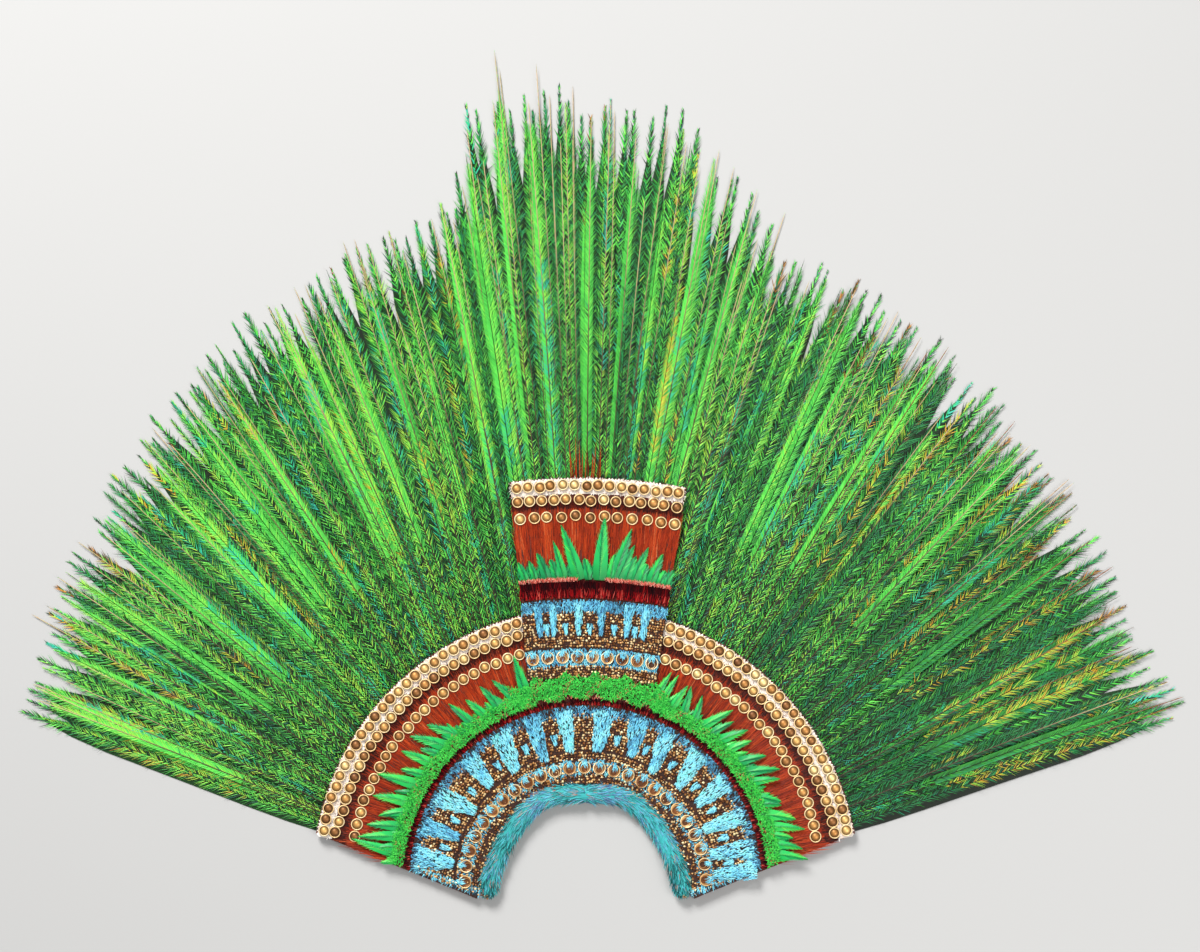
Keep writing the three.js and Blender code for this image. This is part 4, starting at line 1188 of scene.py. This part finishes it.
RING_ANGLES = np.linspace(0.8, 180.2, RINGS)
TABLET_RING_RADII = np.full(TABLET_RINGS, TABLET_RING_RADIUS)
TABLET_RING_ANGLES = np.linspace(-1, 1, TABLET_RINGS) * (tablet_half_angle(TABLET_RING_RADIUS) - 0.95)
TABLET_RING_ANGLES = TABLET_AXIS + TABLET_RING_ANGLES
RING_LINE_STRANDS = 1700
count = RING_LINE_STRANDS
angle = rng.uniform(-2.0, 182.0, count)
radius = ring_line(angle) + rng.uniform(-10, 14, count)
root = heighten(polar(radius, angle), GOLD_FRONT + rng.uniform(0.2, 1.6, count))
paths = strokes(rng, root, np.radians(angle + 180 + rng.normal(0, 35, count)), (4, 8), (0.2, 1.2))
tone = np.clip(0.5 + 0.18 * ripple(angle * 0.1, 8) + rng.normal(0, 0.14, count), 0.02, 0.9)
parts = [
    (turquoise_strand, thin_blades(rng, paths, (1.2, 2.2), 0.5, tone)),
    tufts_in_rings(rng, ring_line(RING_ANGLES), RING_ANGLES, GOLD_FRONT + 2),
]
make_piece("turquoise_band_crescent", parts)
parts = half_moons(rng, ring_line(RING_ANGLES), RING_ANGLES, GOLD_FRONT + 2.0)
make_piece("gold_rings_crescent", parts)
parts = [
    feather_strip(rng, 1100, TABLET_RING_BAND, TABLET_SIDES, TABLET_GOLD_FRONT + 0.2, (4, 8), 0.5),
    tufts_in_rings(rng, TABLET_RING_RADII, TABLET_RING_ANGLES, TABLET_GOLD_FRONT + 2),
]
make_piece("turquoise_band_tablet", tablet_parts(parts))
parts = half_moons(rng, TABLET_RING_RADII, TABLET_RING_ANGLES, TABLET_GOLD_FRONT + 1.8)
make_piece("gold_rings_tablet", tablet_parts(parts))


def clear_of(radius, angle, places, reach):
    """Whether a polar place is at least a reach away, along the arc, from all of the places."""
    return np.abs(angle[:, None] - np.array(places)[None]).min(1) * radius * DEGREE > reach


def between_pillars(radius, angle):
    """Where no turquoise lobe or square lies on the crescent."""
    places = PILLARS["right"] + PILLARS["left"]
    middles = [(a + b) / 2 for row in PILLARS.values() for a, b in zip(row[:-1], row[1:])]
    square = ~clear_of(radius, angle, middles, 5.5) & (radius > 219) & (radius < 236)
    inner, outer = OUTER_MOSAIC
    half_width = 7.5 + 5.5 * (radius - inner) / (outer - inner)
    return clear_of(radius, angle, places, half_width) & ~square


def between_tablet_pillars(radius, angle):
    """Where no turquoise lobe or square lies on the tablet."""
    square = ~clear_of(radius, angle, TABLET_SQUARES, 4.5) & (radius > 687) & (radius < 705)
    return clear_of(radius, angle, TABLET_PILLARS, 5.5) & ~square


parts = [
    pebble_rows(rng, OUTER_MOSAIC, CRESCENT_ENDS, GOLD_FRONT, keep=between_pillars),
    pebble_rows(rng, RINGED_MOSAIC, CRESCENT_ENDS, GOLD_FRONT),
    pebble_rows(rng, INNER_MOSAIC, CRESCENT_ENDS, GOLD_FRONT, share=0.7),
]
make_piece("gold_pieces_crescent", parts, packed=False)
parts = [
    pebble_rows(rng, TABLET_OUTER_MOSAIC, TABLET_SIDES, TABLET_GOLD_FRONT, keep=between_tablet_pillars),
    pebble_rows(rng, TABLET_RINGED_MOSAIC, TABLET_SIDES, TABLET_GOLD_FRONT),
    pebble_rows(rng, TABLET_INNER_MOSAIC, TABLET_SIDES, TABLET_GOLD_FRONT),
]
make_piece("gold_pieces_tablet", tablet_parts(parts), packed=False)


def disc_row(rng, radius, angle, height):
    """Gilt discs with a domed middle, a groove and a bright rolled edge, each set a little unevenly."""
    count = len(angle)
    places = polar(radius + rng.normal(0, 0.9, count), angle + rng.normal(0, 0.06, count))
    centres = heighten(places, height)
    tone = np.clip(rng.normal(0.5, 0.2, count), 0.05, 0.98)
    tone = np.where(rng.random(count) < 0.15, 0.12, tone)
    size = rng.uniform(0.98, 1.08, count)[:, None] * np.ones(3)
    domes = turned(centres, DISC, 16, tone, size)
    tilt = rng.normal(0, 0.03, (count, 2))
    edge_tone = np.clip(0.5 * tone + 0.4, 0, 1)
    rolled_edges = hoops(centres + UP * 0.8, DISC_RADIUS * size[:, 0], 0.95, edge_tone, 16, 4, tilt)
    return [(gilt_disc, domes), (gilt_edge, rolled_edges)]


# Each row of discs: its name, its radius, how many there are and how far they lie above the panel.
DISC_ROWS = (("outer", 416.0, 27, 4.2), ("second", 395.5, 25, 2.4), ("third", 367.0, 22, 1.2))
TABLET_DISC_ROWS = (("top", 917.0, 15, 4.2), ("second", 895.5, 14, 2.2), ("third", 869.0, 12, 1.2))
FIRST_DISC = 11.0  # polar angle of the discs nearest each end
for label, radius, count, lift in DISC_ROWS:
    inset = np.degrees((DISC_RADIUS + 1.0) / radius)
    reaches = {
        "right": (FIRST_DISC, right_of_tablet(radius) - inset),
        "left": (left_of_tablet(radius) + inset, 180 - FIRST_DISC),
    }
    for side_name, reach in reaches.items():
        row = disc_row(rng, radius, np.linspace(*reach, count), FRONT + lift)
        make_piece(f"gilt_discs_{label}_{side_name}", row, smooth=True)
for label, radius, count, lift in TABLET_DISC_ROWS:
    reach = tablet_half_angle(radius) - np.degrees((DISC_RADIUS + 1.5) / radius)
    angle = TABLET_AXIS + np.linspace(-reach, reach, count)
    row = tablet_parts(disc_row(rng, radius, angle, TABLET_FRONT + lift))
    make_piece(f"tablet_discs_{label}", row, smooth=True)

# ---------------------------------------------------------------- the padded roll
ROLL_LINE = [
    (-154, -25), (-141, 28), (-106, 92), (-60, 131), (0, 136), (60, 131), (106, 92), (141, 28), (154, -25),
]
ROLL_STATIONS = 61
ROLL_MIDDLE_HEIGHT = 11.0
ROLL_STRANDS = 3400


def smooth_path(points, steps):
    """A smooth curve through points: on each stretch, the cubic whose slope at a point is half the
    step between its neighbours."""
    p = np.array(points, float)
    p = np.concatenate([2 * p[:1] - p[1:2], p, 2 * p[-1:] - p[-2:-1]])
    at = np.linspace(0, len(points) - 1 - 1e-9, steps)
    i = at.astype(int)
    u = (at - i)[:, None]
    a, b, c, d = p[i], p[i + 1], p[i + 2], p[i + 3]
    return 0.5 * (2 * b + (c - a) * u + (2 * a - 5 * b + 4 * c - d) * u**2 + (3 * b - a - 3 * c + d) * u**3)


def roll_strands(rng, count, line, fullness):
    """Strands laid over the roll from the crown towards its two feet, all round its upper side."""
    last = len(line) - 1
    at = rng.uniform(0, last - 0.1, count)
    i = at.astype(int)
    run = line[i + 1] - line[i]
    centre = line[i] + run * (at - i)[:, None]
    run /= np.linalg.norm(run, axis=1, keepdims=True)
    across = np.stack([run[:, 1], -run[:, 0]], 1)
    down = np.where(at < last / 2, -1.0, 1.0)
    around = rng.uniform(-0.4, np.pi + 0.4, count)
    size = np.interp(at, np.arange(last + 1), fullness)
    root = centre + across * (13.5 * size * np.cos(around))[:, None]
    root = heighten(root, ROLL_MIDDLE_HEIGHT + 10.5 * size * np.sin(around))
    root[:, 2] = np.maximum(root[:, 2], 1.0)
    heading = np.arctan2(run[:, 1] * down, run[:, 0] * down) + rng.normal(0, 0.22, count)
    heading = heading - 0.3 * np.cos(around) * down
    to_foot = np.minimum(at, last - at)
    length = rng.uniform(9, 17, count) * np.minimum(1, 0.35 + to_foot / 8)
    paths = strokes(rng, root, heading, length, (0.2, 1.6))
    paths[..., 2] = np.clip(paths[..., 2], 0.5, 23.6)
    tone = 0.28 + 0.32 * smooth_step(to_foot / 22) + 0.24 * ripple(at / 14, 3) + rng.normal(0, 0.22, count)
    tone = np.where(rng.random(count) < 0.08, 0.99, np.clip(tone, 0.02, 0.94))
    return roll_strand, thin_blades(rng, paths, (1.0, 2.0), 0.6, tone)


line = smooth_path(ROLL_LINE, ROLL_STATIONS)
fullness = np.minimum(1, np.sin(np.linspace(0, np.pi, ROLL_STATIONS)) * 9 + 0.3)
core = padded_tube(heighten(line, ROLL_MIDDLE_HEIGHT), 13.0 * fullness, 10.0 * fullness, 0.3)
parts = [(roll_strand, core), roll_strands(rng, ROLL_STRANDS, line, fullness)]
roll = make_piece("head_opening_roll", parts)

# ---------------------------------------------------------------- stage, light and camera
ground, _, _, ground_shader = new_material("pale_floor")
ground_shader.inputs["Base Color"].default_value = linear(184, 183, 181)
ground_shader.inputs["Roughness"].default_value = 0.9
bpy.ops.mesh.primitive_plane_add(size=12, location=(0, 0, -0.0006))
floor = bpy.context.object
floor.name = "floor"
floor.data.materials.append(ground)


def soft_light(name, place, size, power):
    """A square soft light at a place, facing the headdress."""
    lamp = bpy.data.lights.new(name, "AREA")
    lamp.size = size
    lamp.energy = power
    holder = bpy.data.objects.new(name, lamp)
    bpy.context.scene.collection.objects.link(holder)
    holder.location = place
    holder.rotation_euler = (-Vector(place)).to_track_quat("-Z", "Y").to_euler()


soft_light("key_light", (-2.0, 4.4, 4.2), 2.2, 610)
soft_light("fill_light", (1.8, -1.4, 2.6), 2.2, 60)
world = bpy.data.worlds.new("studio")
world.use_nodes = True
world.node_tree.nodes["Background"].inputs["Color"].default_value = (0.96, 0.98, 1.0, 1)
world.node_tree.nodes["Background"].inputs["Strength"].default_value = 0.36
bpy.context.scene.world = world
bpy.context.scene.view_settings.view_transform = "Standard"

CAMERA_HEIGHT, WIDTH_SEEN = 5.0, 1.8768
MIDDLE_SEEN = ARC_MIDDLE + [0.0227, 0.6319, 0.0]
camera = bpy.data.cameras.new("camera")
camera.sensor_width = 36.0
camera.lens = camera.sensor_width * CAMERA_HEIGHT / WIDTH_SEEN
camera_object = bpy.data.objects.new("camera", camera)
bpy.context.scene.collection.objects.link(camera_object)
camera_object.location = (MIDDLE_SEEN[0], MIDDLE_SEEN[1], CAMERA_HEIGHT)
bpy.context.scene.camera = camera_object
